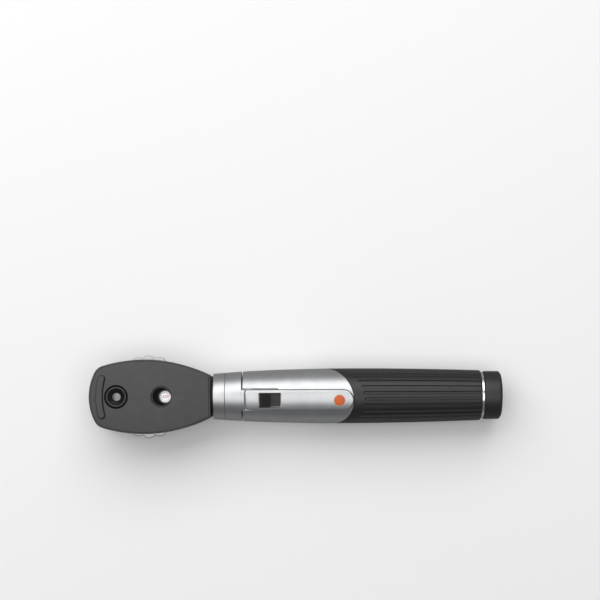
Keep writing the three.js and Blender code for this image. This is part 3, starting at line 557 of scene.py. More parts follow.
RIM, RIM_DROP, GUTTER = 0.62, 0.16, 0.22
WELL_RADIUS, WELL_DEEP, SIGHT_BORE = 5.05, 0.9, 4.0
NOTCH_Y, NOTCH_HALF, NOTCH_REACH, NOTCH_DEEP = 3.2, 0.13, 0.95, 1.3
WHEEL_ROOM, NECK_HOLE = 0.4, 6.35
SLOT_ROOM, SLOT_HALF, SLOT_CORNER = 0.5, 5.4, 1.2
SINK_RADIUS, SINK_DEEP = 2.03, 1.4


def rear_shell():
    """The examiner's side: a rimmed face, wells for the eyepiece and window, and wheel slots."""
    rim_top = FACE - RIM_DROP
    profile = [(0, SEAM), (0, SEAM + 2), (0, SEAM + 4.5)]
    profile += rounding(0.4, 0, rim_top, 1)
    profile += [(RIM - 0.1, rim_top), (RIM - 0.04, rim_top - GUTTER), (RIM + 0.04, rim_top - GUTTER)]
    profile += rounding(0.16, RIM + 0.07, FACE, 1, 3)
    shell = rings_solid("head_rear_shell_fine", head_rings(profile), HEAD_PLASTIC_AND_PAINTED_HIGHLIGHT)
    hollow = rings_solid("cavity", head_rings([(WALL, SEAM - 1), (WALL, FACE - WALL)]), None)
    combine(shell, hollow)
    slot_low, slot_high = SEAM - 0.5, WHEEL_HIGH.z + 0.45
    room = circle(WHEEL_X, 0, WHEEL_RADIUS + WHEEL_ROOM, 128)
    combine(shell, prism("slot", room, slot_low, slot_high))
    combine(shell, prism("bore", circle(SIGHT_X, 0, SIGHT_BORE), 0, FACE + 2))
    combine(shell, prism("well", circle(SIGHT_X, 0, WELL_RADIUS, 96), FACE - WELL_DEEP, FACE + 2))
    combine(shell, prism("window", circle(BEZEL_X, 0, BEZEL_RADIUS + 0.06, 96), 0, FACE + 2))
    for y in (-NOTCH_Y, NOTCH_Y):
        xs, zs = (HEAD_TIP - 1, HEAD_TIP + NOTCH_REACH), (FACE - NOTCH_DEEP, FACE + 1)
        combine(shell, block("notch", xs, span(y, NOTCH_HALF), zs))
    combine(shell, rod("neck_hole", HEAD_BASE - 3, HEAD_BASE + 1, NECK_HOLE))
    soften(shell, 0.1, 2, 50)
    place(shell, "head", "head_plastic", "head_rear_shell")


def patient_plan(margin):
    """The outline of the light's window, a slot with round ends, and a margin round it."""
    low, high = corners_of("patient_window")
    half, steps = (high.y - low.y) / 2, 24
    outline = []
    for centre_x, start in ((high.x - half, -math.pi / 2), (low.x + half, math.pi / 2)):
        for k in range(steps + 1):
            a = start + math.pi * k / steps
            outline.append((centre_x + (half + margin) * math.cos(a), (half + margin) * math.sin(a)))
    return outline


SCREW_PLACES = [centre_of(f"head_screw_{i}") for i in (1, 2, 3)]


def front_shell():
    """The patient's side: a deeper shell with the light's window and the aperture wheel's slot."""
    profile = [(0, FRONT_HIGH.z), (0, FRONT_HIGH.z - 3), (0, BACK + 4)]
    profile += rounding(1.6, 0, BACK, -1, 8)
    shell = rings_solid("head_front_shell_fine", head_rings(profile), HEAD_PLASTIC_AND_PAINTED_HIGHLIGHT)
    hollow = rings_solid("cavity", head_rings([(WALL, BACK + WALL), (WALL, FRONT_HIGH.z + 1)]), None)
    combine(shell, hollow)
    combine(shell, prism("light", patient_plan(-0.8), BACK - 1, BACK + 3))
    combine(shell, prism("ledge", patient_plan(0.08), BACK - 1, BACK + 0.9))
    low, high = corners_of("aperture_wheel")
    slot = rectangle((low.x - SLOT_ROOM, high.x + SLOT_ROOM), span(0, SLOT_HALF), SLOT_CORNER)
    combine(shell, prism("slot", slot, BACK - 1, BACK + 3))
    for centre in SCREW_PLACES:
        sink = circle(*centre.xy, SINK_RADIUS, 44)
        combine(shell, prism("sink", sink, BACK - 1, BACK + SINK_DEEP))
    combine(shell, rod("neck_hole", HEAD_BASE - 3, HEAD_BASE + 1, NECK_HOLE))
    soften(shell, 0.12, 2, 50)
    place(shell, "head", "head_plastic", "head_front_shell")


def brow_rest():
    """A bent bar with round ends and a domed top, its steep sides painted dark as painted shade."""
    low, high = corners_of("brow_rest")
    half_width, half_length, bend = 1.6, high.y, 29.0
    centre_x = low.x + half_width
    reach = math.asin((half_length - half_width) / bend)
    spine = [reach * (k / 12 - 1) for k in range(25)]
    turns = [math.pi * k / 16 for k in range(1, 16)]

    def on(a, across):
        x = centre_x + bend * (1 - math.cos(a)) + across * math.cos(a)
        return Vector((x, (bend - across) * math.sin(a)))

    def round_end(end, middle, half):
        a = reach * end
        loop = []
        for t in turns:
            along = Vector((math.cos(a), -math.sin(a))) * math.cos(t)
            outward = Vector((math.sin(a), math.cos(a))) * math.sin(t)
            loop.append(on(a, 0) + (along + outward) * (end * middle + half * math.cos(t)))
        return loop

    def ring(inset, z):
        near, far = half_width - 1.15 * inset, half_width - 0.5 * inset
        middle, half = (near + far) / 2, (near - far) / 2
        loop = [on(a, near) for a in spine] + round_end(1, middle, half)
        loop += [on(a, -far) for a in reversed(spine)] + round_end(-1, middle, half)
        return [(p.x, p.y, z) for p in loop]

    edge, top = FACE + 0.25, high.z
    profile = [(0, FACE - 0.3), (0.05, edge)]
    for k in range(1, 7):
        a = math.pi / 2 * k / 6
        profile.append((0.1 + 0.75 * (1 - math.cos(a)), edge + (top - edge) * math.sin(a)))
    profile.append((1.35, top))
    rest = rings_solid("brow_rest_fine", [ring(i, z) for i, z in profile], HEAD_PLASTIC_AND_PAINTED_HIGHLIGHT)
    # Painted shade: faces steeper than the top get the gloss black.
    paint(rest, lambda centre, normal: int(normal.z < 0.72), GLOSS_BLACK_AND_PAINTED_SHADE)
    place(rest, "head", "head_plastic", "brow_rest")


def eyepiece():
    """The ring round the viewing hole: a flange in the well, a rolled lip and a deep cone."""
    low, high = corners_of("eyepiece_ring")
    seat = FACE - WELL_DEEP + 0.02
    flange = seat + 0.2
    hole, neck, ring_radius, lip = 1.72, 3.85, 4.25, 3.7
    flange_radius = WELL_RADIUS - 0.05
    ring = turned("eyepiece_ring_fine", [
        (low.z, hole, 0), (low.z, neck, 0), (seat, neck, 0), (seat, flange_radius, 0),
        (flange, flange_radius, 0.06), (flange, ring_radius - 0.1, 0.1), (high.z, ring_radius, 0.24),
        (high.z, lip, 0.22), (high.z - 0.7, lip - 0.25, 0.15), (low.z + 0.8, hole, 0.05),
    ], GLOSS_BLACK_AND_PAINTED_SHADE, "Z", (SIGHT_X, 0, 0))

    # Painted light and shade over one ring: the lip's top in the lighter head plastic as a painted
    # highlight, the cone in gloss black and the flange down in the well in near-black as painted
    # shade.
    def zone(centre, normal):
        if math.hypot(centre.x - SIGHT_X, centre.y) > ring_radius:
            return 2
        return 1 if centre.z > high.z - 0.3 else 0

    paint(ring, zone, HEAD_PLASTIC_AND_PAINTED_HIGHLIGHT, PAINTED_SHADE_BLACK)
    place(ring, "head", "head_plastic", "eyepiece_ring")


# ---- Head: dioptre window ----

LENS_LOW, LENS_HIGH = corners_of("window_lens")
LENS_X = (LENS_LOW.x + LENS_HIGH.x) / 2
LENS_RADIUS = LENS_HIGH.y
LENS_EDGE, LENS_CROWN = 9.35, FACE - 0.75


def window_bezel():
    """A dark cup with a stepped outside, and the lens tube set off-centre in it."""
    radius = BEZEL_RADIUS
    neck, shoulder, bottom, rim = radius - 0.3, 10.4, FACE - 1.7, FACE - 0.12
    tube_radius, tube_top = LENS_RADIUS + 0.38, FACE - 0.6
    cup = turned("window_bezel_fine", [
        (BEZEL_LOW.z, 0, 0), (BEZEL_LOW.z, neck, 0), (shoulder, neck, 0), (shoulder, radius, 0),
        (rim, radius, 0.06), (rim, radius - 0.25, 0.08), (rim - 0.5, radius - 0.45, 0),
        (rim - 0.5, radius - 0.75, 0.06), (bottom, radius - 0.8, 0), (bottom, 0, 0),
    ], GLOSS_BLACK_AND_PAINTED_SHADE, "Z", (BEZEL_X, 0, 0), 96)
    foot = BEZEL_LOW.z + 0.3
    tube = turned("tube", [
        (foot, 0, 0), (foot, tube_radius, 0), (tube_top, tube_radius, 0.03), (tube_top, 0, 0),
    ], None, "Z", (LENS_X, 0, 0), 96)
    combine(cup, tube, "UNION")
    combine(cup, prism("hole", circle(LENS_X, 0, LENS_RADIUS + 0.02, 64), 0, FACE + 1))

    # Painted light and shade over one cup: the deep part near-black as painted shade, the tube's top
    # and the upward step in the lighter head plastic as a painted highlight.
    def zone(centre, normal):
        if centre.z < tube_top - 0.12:
            return 2
        on_tube = math.hypot(centre.x - LENS_X, centre.y) < tube_radius + 0.05
        return 1 if on_tube or normal.z > 0.9 and centre.z < rim - 0.3 else 0

    paint(cup, zone, HEAD_PLASTIC_AND_PAINTED_HIGHLIGHT, PAINTED_SHADE_BLACK)
    soften(cup, 0.04, 2, 50)
    place(cup, "head", "head_plastic", "window_bezel")


def window_lens():
    """A magnifier with a flat back and a steep round front."""
    sag = LENS_CROWN - LENS_EDGE
    ball = (LENS_RADIUS**2 + sag**2) / (2 * sag)
    reach = math.asin(LENS_RADIUS / ball)
    dome = [reach * (1 - k / 16) for k in range(17)]
    loop = [(LENS_LOW.z, 0, 0), (LENS_LOW.z, LENS_RADIUS, 0.05)]
    loop += [(LENS_CROWN - ball * (1 - math.cos(a)), ball * math.sin(a), 0) for a in dome]
    lens = turned("window_lens_fine", loop, MAGNIFIER, "Z", (LENS_X, 0, 0), 96)
    place(lens, "head", "lens_glass", "window_lens")


# ---- Lens wheel ----

LOBES, LOBE_DEEP, LENSES, LENS_HOLE, AXLE_HOLE = 20, 1.05, 20, 1.6, 1.2
NUMBER_RADIUS, NUMBER_SIZE = 7.15, 1.9
NUMBERS = [8, 6, 4, 3, 2, 1, 0, 1, 2, 3, 4, 6, 8, 10, 12, 15, 20, 20, 15, 10]
FIRST_BLACK, LAST_BLACK = 6, 16


def lens_wheel():
    """The finger wheel: rounded lobes that meet in sharp hollows, and a hole for each lens."""
    per_lobe = 20

    def ring(inset, z):
        loop = []
        for k in range(LOBES * per_lobe):
            across = (k % per_lobe) / per_lobe
            across = min(across, 1 - across)
            radius = WHEEL_RADIUS - LOBE_DEEP * (2 * across) ** 2 - inset
            a = math.tau * k / (LOBES * per_lobe)
            loop.append((WHEEL_X + radius * math.cos(a), radius * math.sin(a), z))
        return loop

    low, high = WHEEL_LOW.z, WHEEL_HIGH.z
    profile = [(i, z) for i, z in reversed(rounding(0.45, 0, low, -1, 4))]
    profile += rounding(0.45, 0, high, 1, 4)
    wheel = rings_solid("lens_wheel_fine", [ring(i, z) for i, z in profile], WHEEL_SILVER)
    circle_radius = WHEEL_X - SIGHT_X
    for k in range(LENSES):
        a = math.tau * k / LENSES
        x, y = WHEEL_X + circle_radius * math.cos(a), circle_radius * math.sin(a)
        combine(wheel, prism("lens_hole", circle(x, y, LENS_HOLE, 24), low - 1, high + 1))
    combine(wheel, prism("bore", circle(WHEEL_X, 0, AXLE_HOLE, 24), low - 1, high + 1))
    place(wheel, "lens_wheel", "wheel_silver", "lens_wheel")


def number_text(value, angle):
    """The mesh of one number, lying on the disc at an angle round the wheel."""
    curve = bpy.data.curves.new("number", "FONT")
    curve.body = str(value)
    curve.align_x, curve.align_y = "CENTER", "CENTER"
    curve.size = NUMBER_SIZE * MM
    curve.extrude = 0.008 * MM
    text = add_object("number", curve)
    narrow = 0.82 if value < 10 else 0.62
    x, y = WHEEL_X + NUMBER_RADIUS * math.cos(angle), NUMBER_RADIUS * math.sin(angle)
    text.matrix_world = (
        Matrix.Translation(Vector((x, y, DISC_TOP + 0.01)) * MM)
        @ Matrix.Rotation(angle + math.pi / 2, 4, "Z")
        @ Matrix.Diagonal((narrow, 1, 1, 1))
    )
    bpy.context.view_layer.update()
    mesh = bpy.data.meshes.new_from_object(text.evaluated_get(bpy.context.evaluated_depsgraph_get()))
    mesh.transform(text.matrix_world)
    bpy.data.objects.remove(text)
    return mesh


def numbers():
    """The printed numbers, tops towards the wheel's centre: black for plus, red for minus."""
    for name, ink, black in (("numbers_red", INK_RED, False), ("numbers_black", INK_BLACK, True)):
        work = bmesh.new()
        for k, value in enumerate(NUMBERS):
            if (FIRST_BLACK <= k <= LAST_BLACK) == black:
                work.from_mesh(number_text(value, math.tau * k / len(NUMBERS)))
        mesh = bpy.data.meshes.new(name)
        work.to_mesh(mesh)
        work.free()
        mesh.materials.clear()
        mesh.materials.append(ink)
        place(add_object(name, mesh), "lens_wheel", "disc_white")


# ---- Head: neck, screws, aperture wheel ----


def head_collar():
    """The silver ring that turns with the head."""
    low, high = corners_of("head_collar")
    bore = 7.1
    collar = turned("head_collar_fine", [
        (low.x, bore, 0), (low.x, neck_radius(low.x), 0.3),
        (high.x, neck_radius(high.x), 0.12), (high.x, bore, 0),
    ], SILVER, segments=192)
    place(collar, "head", "silver_shell", "head_collar")


def head_neck():
    """The black neck with its two flanges, and the spigot behind them."""
    low, high = corners_of("head_base")
    bore, tube, spigot = 4.5, 6.2, 7.0
    inner_start, inner_end, inner_radius = -127.2, -125.7, 7.4
    outer_start, outer_end, outer_radius = -123.9, -123.15, 8.6
    neck = turned("head_base_fine", [
        (low.x, bore, 0), (low.x, tube - 0.3, 0.2), (inner_start, tube, 0),
        (inner_start, inner_radius, 0.2), (inner_end, inner_radius, 0.2),
        (inner_end, tube, 0), (outer_start, tube, 0),
        (outer_start, outer_radius, 0.15), (outer_end, outer_radius, 0.1), (outer_end, spigot, 0),
        (high.x, spigot, 0.4), (high.x, bore, 0.2),
    ], DEEP_BLACK)
    place(neck, "head", "switch_black", "head_base")


def head_screw(index):
    """A domed screw with a slot, seen from the patient's side."""
    low, high = corners_of(f"head_screw_{index}")
    x, y = SCREW_PLACES[index - 1].xy
    radius, shank, under, slot_half, slot_deep = 1.8, 0.8, low.z + 1.3, 0.28, 0.65
    screw = turned(f"head_screw_{index}_fine", [
        (low.z, 0, 0), (low.z + 0.18, 1.25, 1.5), (low.z + 0.55, radius, 0.15), (under, radius, 0.1),
        (under, shank, 0), (high.z, shank, 0.3), (high.z, 0, 0),
    ], STEEL, "Z", (x, y, 0), 48)
    turn = Matrix.Translation((x, y, 0)) @ Matrix.Rotation(math.radians(35 * index), 4, "Z")
    slot = block("slot", span(0, slot_half), span(0, 3), (low.z - 1, low.z + slot_deep), None, turn)
    combine(screw, slot)
    soften(screw, 0.04, 1, 50)
    place(screw, "head", "steel", f"head_screw_{index}")


def aperture_wheel():
    """A small knurled thumb wheel with five light openings."""
    low, high = corners_of("aperture_wheel")
    z = JOINTS["aperture_wheel_spin"]["pos_m"][2] / MM
    radius, teeth, tooth_deep, per_tooth = (high.y - low.y) / 2, 32, 0.32, 6
    openings, opening_circle = (1.5, 1.1, 0.7, 1.4, 1.5), 4.7

    def ring(inset, x):
        loop = []
        for k in range(teeth * per_tooth):
            wave = 0.5 - 0.5 * math.cos(math.tau * (k % per_tooth) / per_tooth)
            r = radius - inset - tooth_deep * wave
            a = math.tau * k / (teeth * per_tooth)
            loop.append((x, r * math.sin(a), z + r * math.cos(a)))
        return loop

    edge = [(0.3, 0), (0.08, 0.1), (0, 0.3)]
    profile = [(inset, low.x + deep) for inset, deep in edge]
    profile += [(inset, high.x - deep) for inset, deep in reversed(edge)]
    wheel = rings_solid("aperture_wheel_fine", [ring(i, x) for i, x in profile], GRIP_PLASTIC)
    for k, opening in enumerate(openings):
        a = math.tau * k / len(openings)
        centre = (0, opening_circle * math.sin(a), z + opening_circle * math.cos(a))
        combine(wheel, rod("opening", low.x - 1, high.x + 1, opening, centre, 32))
    place(wheel, "aperture_wheel", "switch_black", "aperture_wheel")


def patient_window():
    """The pane that the light leaves through."""
    low, high = corners_of("patient_window")
    pane = prism("patient_window_fine", patient_plan(0), low.z, high.z, GLASS)
    soften(pane, 0.08, 2, 50)
    place(pane, "head", "lens_glass", "patient_window")


# ---- Handle ----

BOSS_HALF, SPRING_HALF = 0.95, 1.25


def shell_column(angle, outside, inside):
    """One lengthwise loop of a handle shell: the outside's (x, radius), then the bore's."""
    return [(x, r * math.sin(angle), r * math.cos(angle)) for x, r in outside + inside]


def split_at(angle, offset):
    """Where the slanted joint meets the outer surface at an angle round the handle."""
    x = SPLIT_TOP_X
    for _ in range(4):
        x = split_x(barrel_radius(x) * math.cos(angle)) + offset
    return x


def channel_tool():
    """The space above the channel's floor, which both shells give up to the clip."""
    side, front, tail = CLIP_HALF + CLIP_GAP, SHELL_FRONT - 2, SPLIT_TOP_X - CLIP_HALF
    turns = [math.pi * (k / 64 - 0.5) for k in range(65)]
    arc = [(tail + side * math.cos(a), side * math.sin(a)) for a in turns]
    outline = [(front, -side), *arc, (front, side)]
    return prism("channel", outline, lambda x, y: clip_under(x) - CLIP_UNDER, 20, None, ROLL)


def relief_tool():
    """The wider gap beside the front of the clip."""
    ys = (CLIP_HALF - 0.3, CLIP_HALF + CLIP_GAP + 0.5)
    return block("relief", (SHELL_FRONT - 3, RELIEF_END), ys, (8.6, 21), None, ROLL)


def upper_shell():
    """The silver half of the handle, from the clip ring to the slanted joint."""
    segments, lengthwise = 288, 14
    points = []
    edge = 0.28
    for k in range(segments):
        angle = math.tau * k / segments
        end = split_at(angle, 0.1)
        length = end - SHELL_FRONT - 2 * edge
        xs = [SHELL_FRONT + p for p in (0, 0.05, 0.12, 0.2, edge)]
        xs += [SHELL_FRONT + edge + length * i / lengthwise for i in range(1, lengthwise)]
        xs += [end - p for p in (edge, 0.15, 0.08, 0.03, 0)]
        rows = [(x, barrel_radius(x) - edge_drop(min(x - SHELL_FRONT, end - x), 0.14)) for x in xs]
        inside = [(split_x(BORE * math.cos(angle)) + 0.1, BORE), (SHELL_FRONT, BORE)]
        points += shell_column(angle, rows, inside)
    rows = len(points) // segments
    shell = make("upper_shell_fine", points, grid_faces(segments, rows), SILVER, ROLL)
    combine(shell, channel_tool())
    combine(shell, relief_tool())
    for side in (-1, 1):
        ys = sorted((side * 3.1, side * 4.25))
        boss = block("boss", span(PIN_X, BOSS_HALF), ys, (9, 10.5), None, ROLL)
        combine(shell, boss, "UNION")
    spring_room = block("pocket", span(PIN_X, SPRING_HALF), span(0, 1.5), (7, 12), None, ROLL)
    combine(shell, spring_room)
    low, high = corners_of("switch_frame")
    xs, ys = (low.x - SWITCH_GAP, high.x + SWITCH_GAP), span(0, SWITCH_HALF + SWITCH_GAP)
    combine(shell, block("pocket", xs, ys, (SWITCH_FOOT - 0.05, 12), None, ROLL))
    place(shell, "handle", "silver_shell", "upper_shell")


def groove_depth(from_start, across):
    """Depth of a groove at a distance behind its round start and off its middle."""
    ahead = max(GROOVE_HALF - from_start, 0)
    distance = math.hypot(ahead, across)
    share = (GROOVE_HALF + GROOVE_SOFT / 2 - distance) / GROOVE_SOFT
    share = min(max(share, 0), 1)
    return GROOVE_DEEP * share * share * (3 - 2 * share)


def ribbed_grip():
    """The black half of the handle: long grooves that start along the slanted joint."""
    half_pitch = math.pi * GROOVE_CIRCLE / GROOVES
    steps = [0, 0.2, 0.34, 0.43, 0.48, 0.53, 0.57, 0.62, 0.68, 0.76, 0.95]
    across = sorted({s * sign for s in steps for sign in (-1, 1)})
    across = [a for a in across if abs(a) < half_pitch] + [half_pitch]
    starts = [-0.25, -0.05, 0.02, 0.1, 0.2, 0.32, 0.45, 0.6, 0.8]
    points, count = [], 0
    for groove in range(GROOVES):
        for offset in across:
            angle = GROOVE_PHASE + math.tau * groove / GROOVES + offset / GROOVE_CIRCLE
            start = split_at(angle, 0.2)
            xs = [start + p for p in (0, 0.03, 0.08, 0.16, 0.3, 1.5, 3)]
            xs += [start + GROOVE_START + p for p in starts]
            first = xs[-1]
            xs += [first + (GRIP_REAR - 0.5 - first) * i / 12 for i in range(1, 13)]
            xs += [GRIP_REAR - p for p in (0.3, 0.15, 0.06, 0)]
            rows = []
            for x in xs:
                drop = edge_drop(x - start, 0.16) + edge_drop(GRIP_REAR - x, 0.32)
                depth = groove_depth(x - start - GROOVE_START, offset)
                rows.append((x, barrel_radius(x) - drop - depth))
            inside = [(GRIP_REAR, BORE), (split_x(BORE * math.cos(angle)) + 0.2, BORE)]
            points += shell_column(angle, rows, inside)
            count += 1
    faces = grid_faces(count, len(points) // count)
    grip = make("grip_shell_fine", points, faces, GRIP_PLASTIC, ROLL, 40)
    combine(grip, channel_tool())
    place(grip, "handle", "grip_plastic", "grip_shell")


def clip_ring():
    """The silver ring before the handle, with the tongue that runs up to the clip."""
    low = corners_of("clip_ring")[0]
    rear = SHELL_FRONT - 0.5
    bore, socket, socket_end = 7.3, 8.6, -113.4
    ring = turned("clip_ring_fine", [
        (low.x, bore, 0), (low.x, neck_radius(low.x), 0.12), (rear, neck_radius(rear), 0.12),
        (rear, socket, 0), (socket_end, socket, 0), (socket_end, bore, 0),
    ], SILVER, segments=192, turn=ROLL)
    half, bottom, start, count = 4.5, 9.2, rear - 0.5, 24
    arch = []
    for k in range(count + 1):
        y = half * (1 - 2 * k / count)
        height = math.sqrt(neck_radius(start) ** 2 - y * y) - 0.02
        arch.append((y, height - edge_drop(half - abs(y), 0.35)))
    section = arch + [(-half, bottom), (half, bottom)]
    end = CLIP_FRONT + CLIP_CORNER
    tongue = rings_solid("tongue", [[(x, *p) for p in section] for x in (start, end)], None, ROLL)
    gap = 0.2
    x0, x1, y1, corner = CLIP_FRONT - gap, end + 1, CLIP_HALF + gap, CLIP_CORNER + gap
    seat = filleted([(x0, -y1, corner), (x1, -y1, 0), (x1, y1, 0), (x0, y1, corner)], 6)
    combine(tongue, prism("seat", seat, 5, 20, None, ROLL))
    combine(ring, tongue, "UNION")
    place(ring, "handle", "silver_shell", "clip_ring")


def chrome_ring():
    """The bright ring between the grip and the cap."""
    low, high = corners_of("chrome_ring")
    bore, radius = 8.45, 9.95
    ring = turned("chrome_ring_fine", [
        (low.x, bore, 0), (low.x, radius, 0.25), (high.x, radius, 0.25), (high.x, bore, 0),
    ], CHROME, segments=256, turn=ROLL)
    place(ring, "handle", "chrome_trim", "chrome_ring")


def end_cap():
    """The battery cap, with a chamfered end."""
    low, high = corners_of("end_cap")
    radius, wall, bore = 10.3, 1.6, 8.65
    cap = turned("end_cap_fine", [
        (low.x, bore, 0.1), (low.x, radius, 0.3), (high.x - 0.9, radius, 0.5),
        (high.x, radius - 1.1, 0.7), (high.x, 0, 0), (high.x - wall, 0, 0), (high.x - wall, bore, 0.3),
    ], CAP_PLASTIC, segments=192, turn=ROLL)
    place(cap, "cap", "grip_plastic", "end_cap")


# ---- Clip and switch ----

WINDOW_START, WINDOW_END, WINDOW_HALF, WINDOW_CORNER = -103.6, -93.9, 3.2, 0.3
BADGE_X, BADGE_RADIUS, BADGE_SEAT = centre_of("badge").x, 2.28, 0.45
PIN_RADIUS, PIN_HEIGHT = 0.55, 9.85


def pocket_clip():
    """The clip: a crowned bar with a soft edge, square in front and round at the tail."""
    front, tail = CLIP_FRONT, SPLIT_TOP_X - CLIP_HALF
    corner, edge, body_steps = CLIP_CORNER, 0.45, 24
    xs = [front + corner * (1 - math.cos(math.pi / 2 * k / 10)) for k in range(11)]
    xs += [front + corner + (tail - front - corner) * k / body_steps for k in range(1, body_steps)]
    xs += [tail + CLIP_HALF * math.sin(math.pi / 2 * k / 20) for k in range(21)]

    def half_width(x):
        if x < front + corner:
            return CLIP_HALF - corner + math.sqrt(max(corner**2 - (front + corner - x) ** 2, 0))
        if x > tail:
            return math.sqrt(max(CLIP_HALF**2 - (x - tail) ** 2, 0))
        return CLIP_HALF

    def to_edge(x, y):
        y = abs(y)
        if x > tail:
            return CLIP_HALF - math.hypot(x - tail, y)
        if x < front + corner and y > CLIP_HALF - corner:
            return corner - math.hypot(front + corner - x, y - CLIP_HALF + corner)
        return min(CLIP_HALF - y, x - front)

    shares = [-1, -0.995, -0.98, -0.96, -0.93, -0.88, -0.8, -0.65, -0.45, -0.22, 0]
    shares += [-s for s in reversed(shares[:-1])]
    points = []
    for x in xs:
        half = half_width(x)
        for share in shares:
            y = half * share
            nose = max(1 - (x - front) / CLIP_NOSE, 0)
            drop = edge_drop(max(to_edge(x, y), 0), edge) + 0.4 * nose * nose
            points.append((x, y, clip_top(x) - CLIP_CROWN * (y / CLIP_HALF) ** 2 - drop))
        for share in reversed(shares):
            y = half * share
            points.append((x, y, clip_under(x)))
    rows = 2 * len(shares)
    faces = grid_faces(len(xs), rows, False)
    faces.append(tuple(range(rows)))
    faces.append(tuple(range((len(xs) - 1) * rows, len(xs) * rows)))
    clip = make("pocket_clip_fine", points, faces, CLIP_SILVER, ROLL, 50)
    opening = rectangle((WINDOW_START, WINDOW_END), span(0, WINDOW_HALF), WINDOW_CORNER)
    combine(clip, prism("window", opening, 5, 20, None, ROLL))
    seat = clip_top(BADGE_X) - BADGE_SEAT
    combine(clip, prism("seat", circle(BADGE_X, 0, BADGE_RADIUS + 0.1), seat, 20, None, ROLL))
    for side in (-1, 1):
        ys = sorted((side * 2.8, side * 6))
        combine(clip, block("room", span(PIN_X, BOSS_HALF + 0.4), ys, (8, 10.85), None, ROLL))
    room = block("room", span(PIN_X, SPRING_HALF + 0.25), span(0, 1.6), (8, 11.05), None, ROLL)
    combine(clip, room)
    across = ROLL @ Matrix.Translation((PIN_X, 0, PIN_HEIGHT)) @ Matrix.Rotation(math.pi / 2, 4, "Z")
    combine(clip, rod("pin", -6, 6, PIN_RADIUS, segments=24, turn=across))
    soften(clip, 0.07, 2, 60)
    place(clip, "clip", "silver_shell", "pocket_clip")


def badge():
    """A plain round enamel inlay, slightly domed."""
    top = clip_top(BADGE_X)
    bottom = top - BADGE_SEAT + 0.03
    dot = turned("badge_fine", [
        (bottom, 0, 0), (bottom, BADGE_RADIUS, 0), (top - 0.2, BADGE_RADIUS, 0.08),
        (top + 0.01, 1.4, 2), (top + 0.02, 0, 0),
    ], ORANGE, "Z", (BADGE_X, 0, 0), 96, ROLL)
    place(dot, "clip", "badge_orange", "badge")


def switch():
    """The dark floor with its slot, and the ribbed key that slides over it."""
    low, high = corners_of("switch_frame")
    xs, ys, zs = (low.x, high.x), span(0, SWITCH_HALF), (SWITCH_FOOT, 10.6)
    pad = block("switch_frame_fine", xs, ys, zs, SWITCH_FLOOR, ROLL)
    combine(pad, block("slot", (low.x + 1, high.x - 0.5), span(0, 0.85), (9, 10.1), None, ROLL))
    soften(pad, 0.1, 2, 50)
    place(pad, "handle", "switch_black", "switch_frame")
    low, high = corners_of("switch_slider")
    top, base, ribs, valley = 12.03, 10.65, 7, 0.28
    pitch = (high.x - low.x) / ribs
    crest = []
    for i in range(ribs):
        start, end = low.x + i * pitch, low.x + (i + 1) * pitch
        crest += [(start + 0.06, top - valley), (start + 0.18, top)]
        crest += [(end - 0.18, top), (end - 0.06, top - valley)]
    profile = [(low.x, base), (high.x, base), *reversed(crest)]
    sides = [[(x, y, z) for x, z in profile] for y in ys]
    key = rings_solid("switch_slider_fine", sides, DEEP_BLACK, ROLL)
    soften(key, 0.06, 2, 30)
    place(key, "switch", "switch_black", "switch_slider")


# ---- Carried-over CAD nodes ----


def dress(material, *names):
    """Gives CAD nodes a node material and smooth shading."""
    for name in names:
        node = frame["nodes"][name]
        node.data.materials.clear()
        node.data.materials.append(material)
        finish_mesh(node, 30)


dress(GLASS, "condenser_lens", "projection_lens", "lamp_bulb")
# The lens ring's partly white glass is painted light for the sight hole.
dress(GLASS_PAINTED_LIGHT, "lens_ring")
dress(GREEN_GLASS, "red_free_filter")
dress(MIRROR, "mirror")
dress(BRASS, "lamp_sleeve", "contact_pin", "switch_contact", "spring_seat")
# The battery tube is dark as painted shade for the gaps between the handle parts.
dress(TUBE_PAINTED_SHADE, "battery_tube")
dress(STEEL, "wheel_axle", "wheel_axle_clip", "detent_ball", "detent_spring", "aperture_axle")
dress(STEEL, "clip_pin", "clip_spring", "battery_spring")
dress(DEEP_BLACK, "optics_frame", "contact_insulator")
dress(WHITE, "number_disc")
dress(JACKET, "battery_front", "battery_rear")

rear_shell()
front_shell()
brow_rest()
eyepiece()
window_bezel()
window_lens()
lens_wheel()
numbers()
head_collar()
head_neck()
for number in (1, 2, 3):
    head_screw(number)
aperture_wheel()
patient_window()
upper_shell()
ribbed_grip()
clip_ring()
chrome_ring()
end_cap()
pocket_clip()
badge()
switch()

# ---- Stage ----

VIEW_X, VIEW_DISTANCE, VIEW_WIDTH = -86.0, 660.0, 258.0
SENSOR = 36.0
AXIS_BELOW_MIDDLE = 0.16


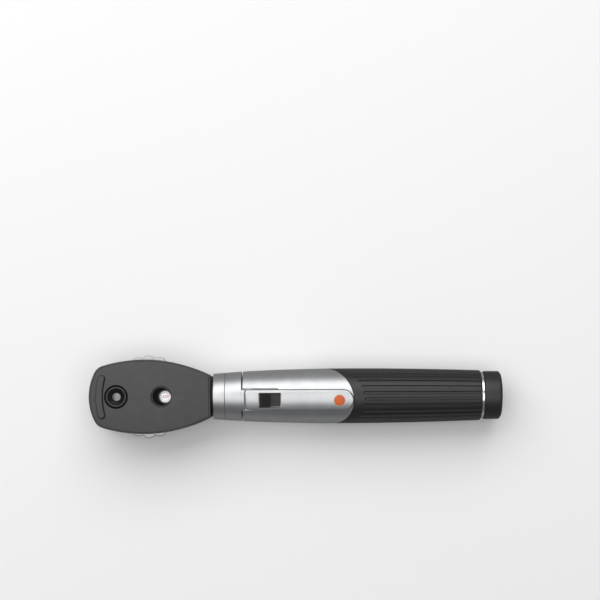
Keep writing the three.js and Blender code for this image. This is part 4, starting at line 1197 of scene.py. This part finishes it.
def floor():
    """A pale sheet that stays pale far away, and that is clear from below."""
    size = 4.0
    z = cad_bounds[0].z - 0.0002
    mesh = bpy.data.meshes.new("floor")
    outline = rectangle(span(0, size), span(0, size))
    mesh.from_pydata([(x, y, z) for x, y in outline], [], [(0, 1, 2, 3)])
    obj = add_object("floor", mesh)
    nodes = Nodes("floor_paper")
    fill(nodes.shader, Roughness=1, Specular_IOR_Level=0, Emission_Color=(1, 1, 1, 1))
    path = nodes.add("ShaderNodeLightPath")
    seen = nodes.add("ShaderNodeMix", data_type="RGBA")
    fill(seen, A=(0.34, 0.34, 0.34, 1), B=(0.95, 0.95, 0.95, 1))
    nodes.link(path.outputs["Is Camera Ray"], seen.inputs["Factor"])
    nodes.link(seen.outputs["Result"], nodes.shader.inputs["Base Color"])
    distance = nodes.add("ShaderNodeVectorMath", operation="LENGTH")
    nodes.link(nodes.place, distance.inputs[0])
    glow = nodes.add("ShaderNodeMapRange", interpolation_type="SMOOTHSTEP")
    fill(glow, From_Min=0.2, From_Max=1.3, To_Max=0.75)
    nodes.link(distance.outputs["Value"], glow.inputs["Value"])
    shown = nodes.add("ShaderNodeMath", operation="MULTIPLY")
    nodes.link(glow.outputs["Result"], shown.inputs[0])
    nodes.link(path.outputs["Is Camera Ray"], shown.inputs[1])
    nodes.link(shown.outputs["Value"], nodes.shader.inputs["Emission Strength"])
    nodes.pass_through(nodes.add("ShaderNodeNewGeometry").outputs["Backfacing"])
    mesh.materials.append(nodes.material)
    obj.visible_shadow = False


def softbox(name, direction, distance, size, power):
    """A rectangular light that looks at the middle of the instrument."""
    light = bpy.data.lights.new(name, "AREA")
    light.shape = "RECTANGLE"
    light.size, light.size_y = size
    light.energy = power
    obj = add_object(name, light)
    target = Vector((VIEW_X, 0, 0)) * MM
    away = Vector(direction).normalized()
    obj.location = target + away * distance
    obj.rotation_mode = "QUATERNION"
    obj.rotation_quaternion = away.to_track_quat("Z", "Y")
    obj.visible_camera = False


def world():
    """Pale to the camera, dimmer to everything that reflects it."""
    setting = bpy.data.worlds.new("studio")
    bpy.context.scene.world = setting
    setting.use_nodes = True
    tree = setting.node_tree
    background = tree.nodes["Background"]
    path = tree.nodes.new("ShaderNodeLightPath")
    mix = tree.nodes.new("ShaderNodeMix")
    mix.data_type = "RGBA"
    fill(mix, A=(0.15, 0.15, 0.155, 1), B=(0.85, 0.85, 0.86, 1))
    tree.links.new(path.outputs["Is Camera Ray"], mix.inputs["Factor"])
    tree.links.new(mix.outputs["Result"], background.inputs["Color"])


def camera():
    """A long lens straight above the instrument, which lies low in the picture."""
    data = bpy.data.cameras.new("camera")
    data.sensor_width = SENSOR
    data.lens = SENSOR * VIEW_DISTANCE / VIEW_WIDTH
    data.shift_y = AXIS_BELOW_MIDDLE
    data.clip_start, data.clip_end = 0.01, 20
    obj = add_object("camera", data)
    obj.location = Vector((VIEW_X, 0, VIEW_DISTANCE)) * MM
    obj.rotation_euler = (0, 0, math.radians(-0.3))
    bpy.context.scene.camera = obj


floor()
softbox("key", (-0.2, 0.62, 0.79), 1.0, (1.7, 0.8), 8.8)
softbox("top", (0.0, -0.15, 1.0), 1.2, (1.6, 0.8), 6.0)
softbox("far_side", (0, 1.0, 0.45), 1.0, (1.6, 0.5), 1.2)
softbox("below", (0, -0.2, -1.0), 1.0, (1.6, 0.8), 6.0)
world()
camera()
bpy.context.scene.view_settings.view_transform = "Standard"
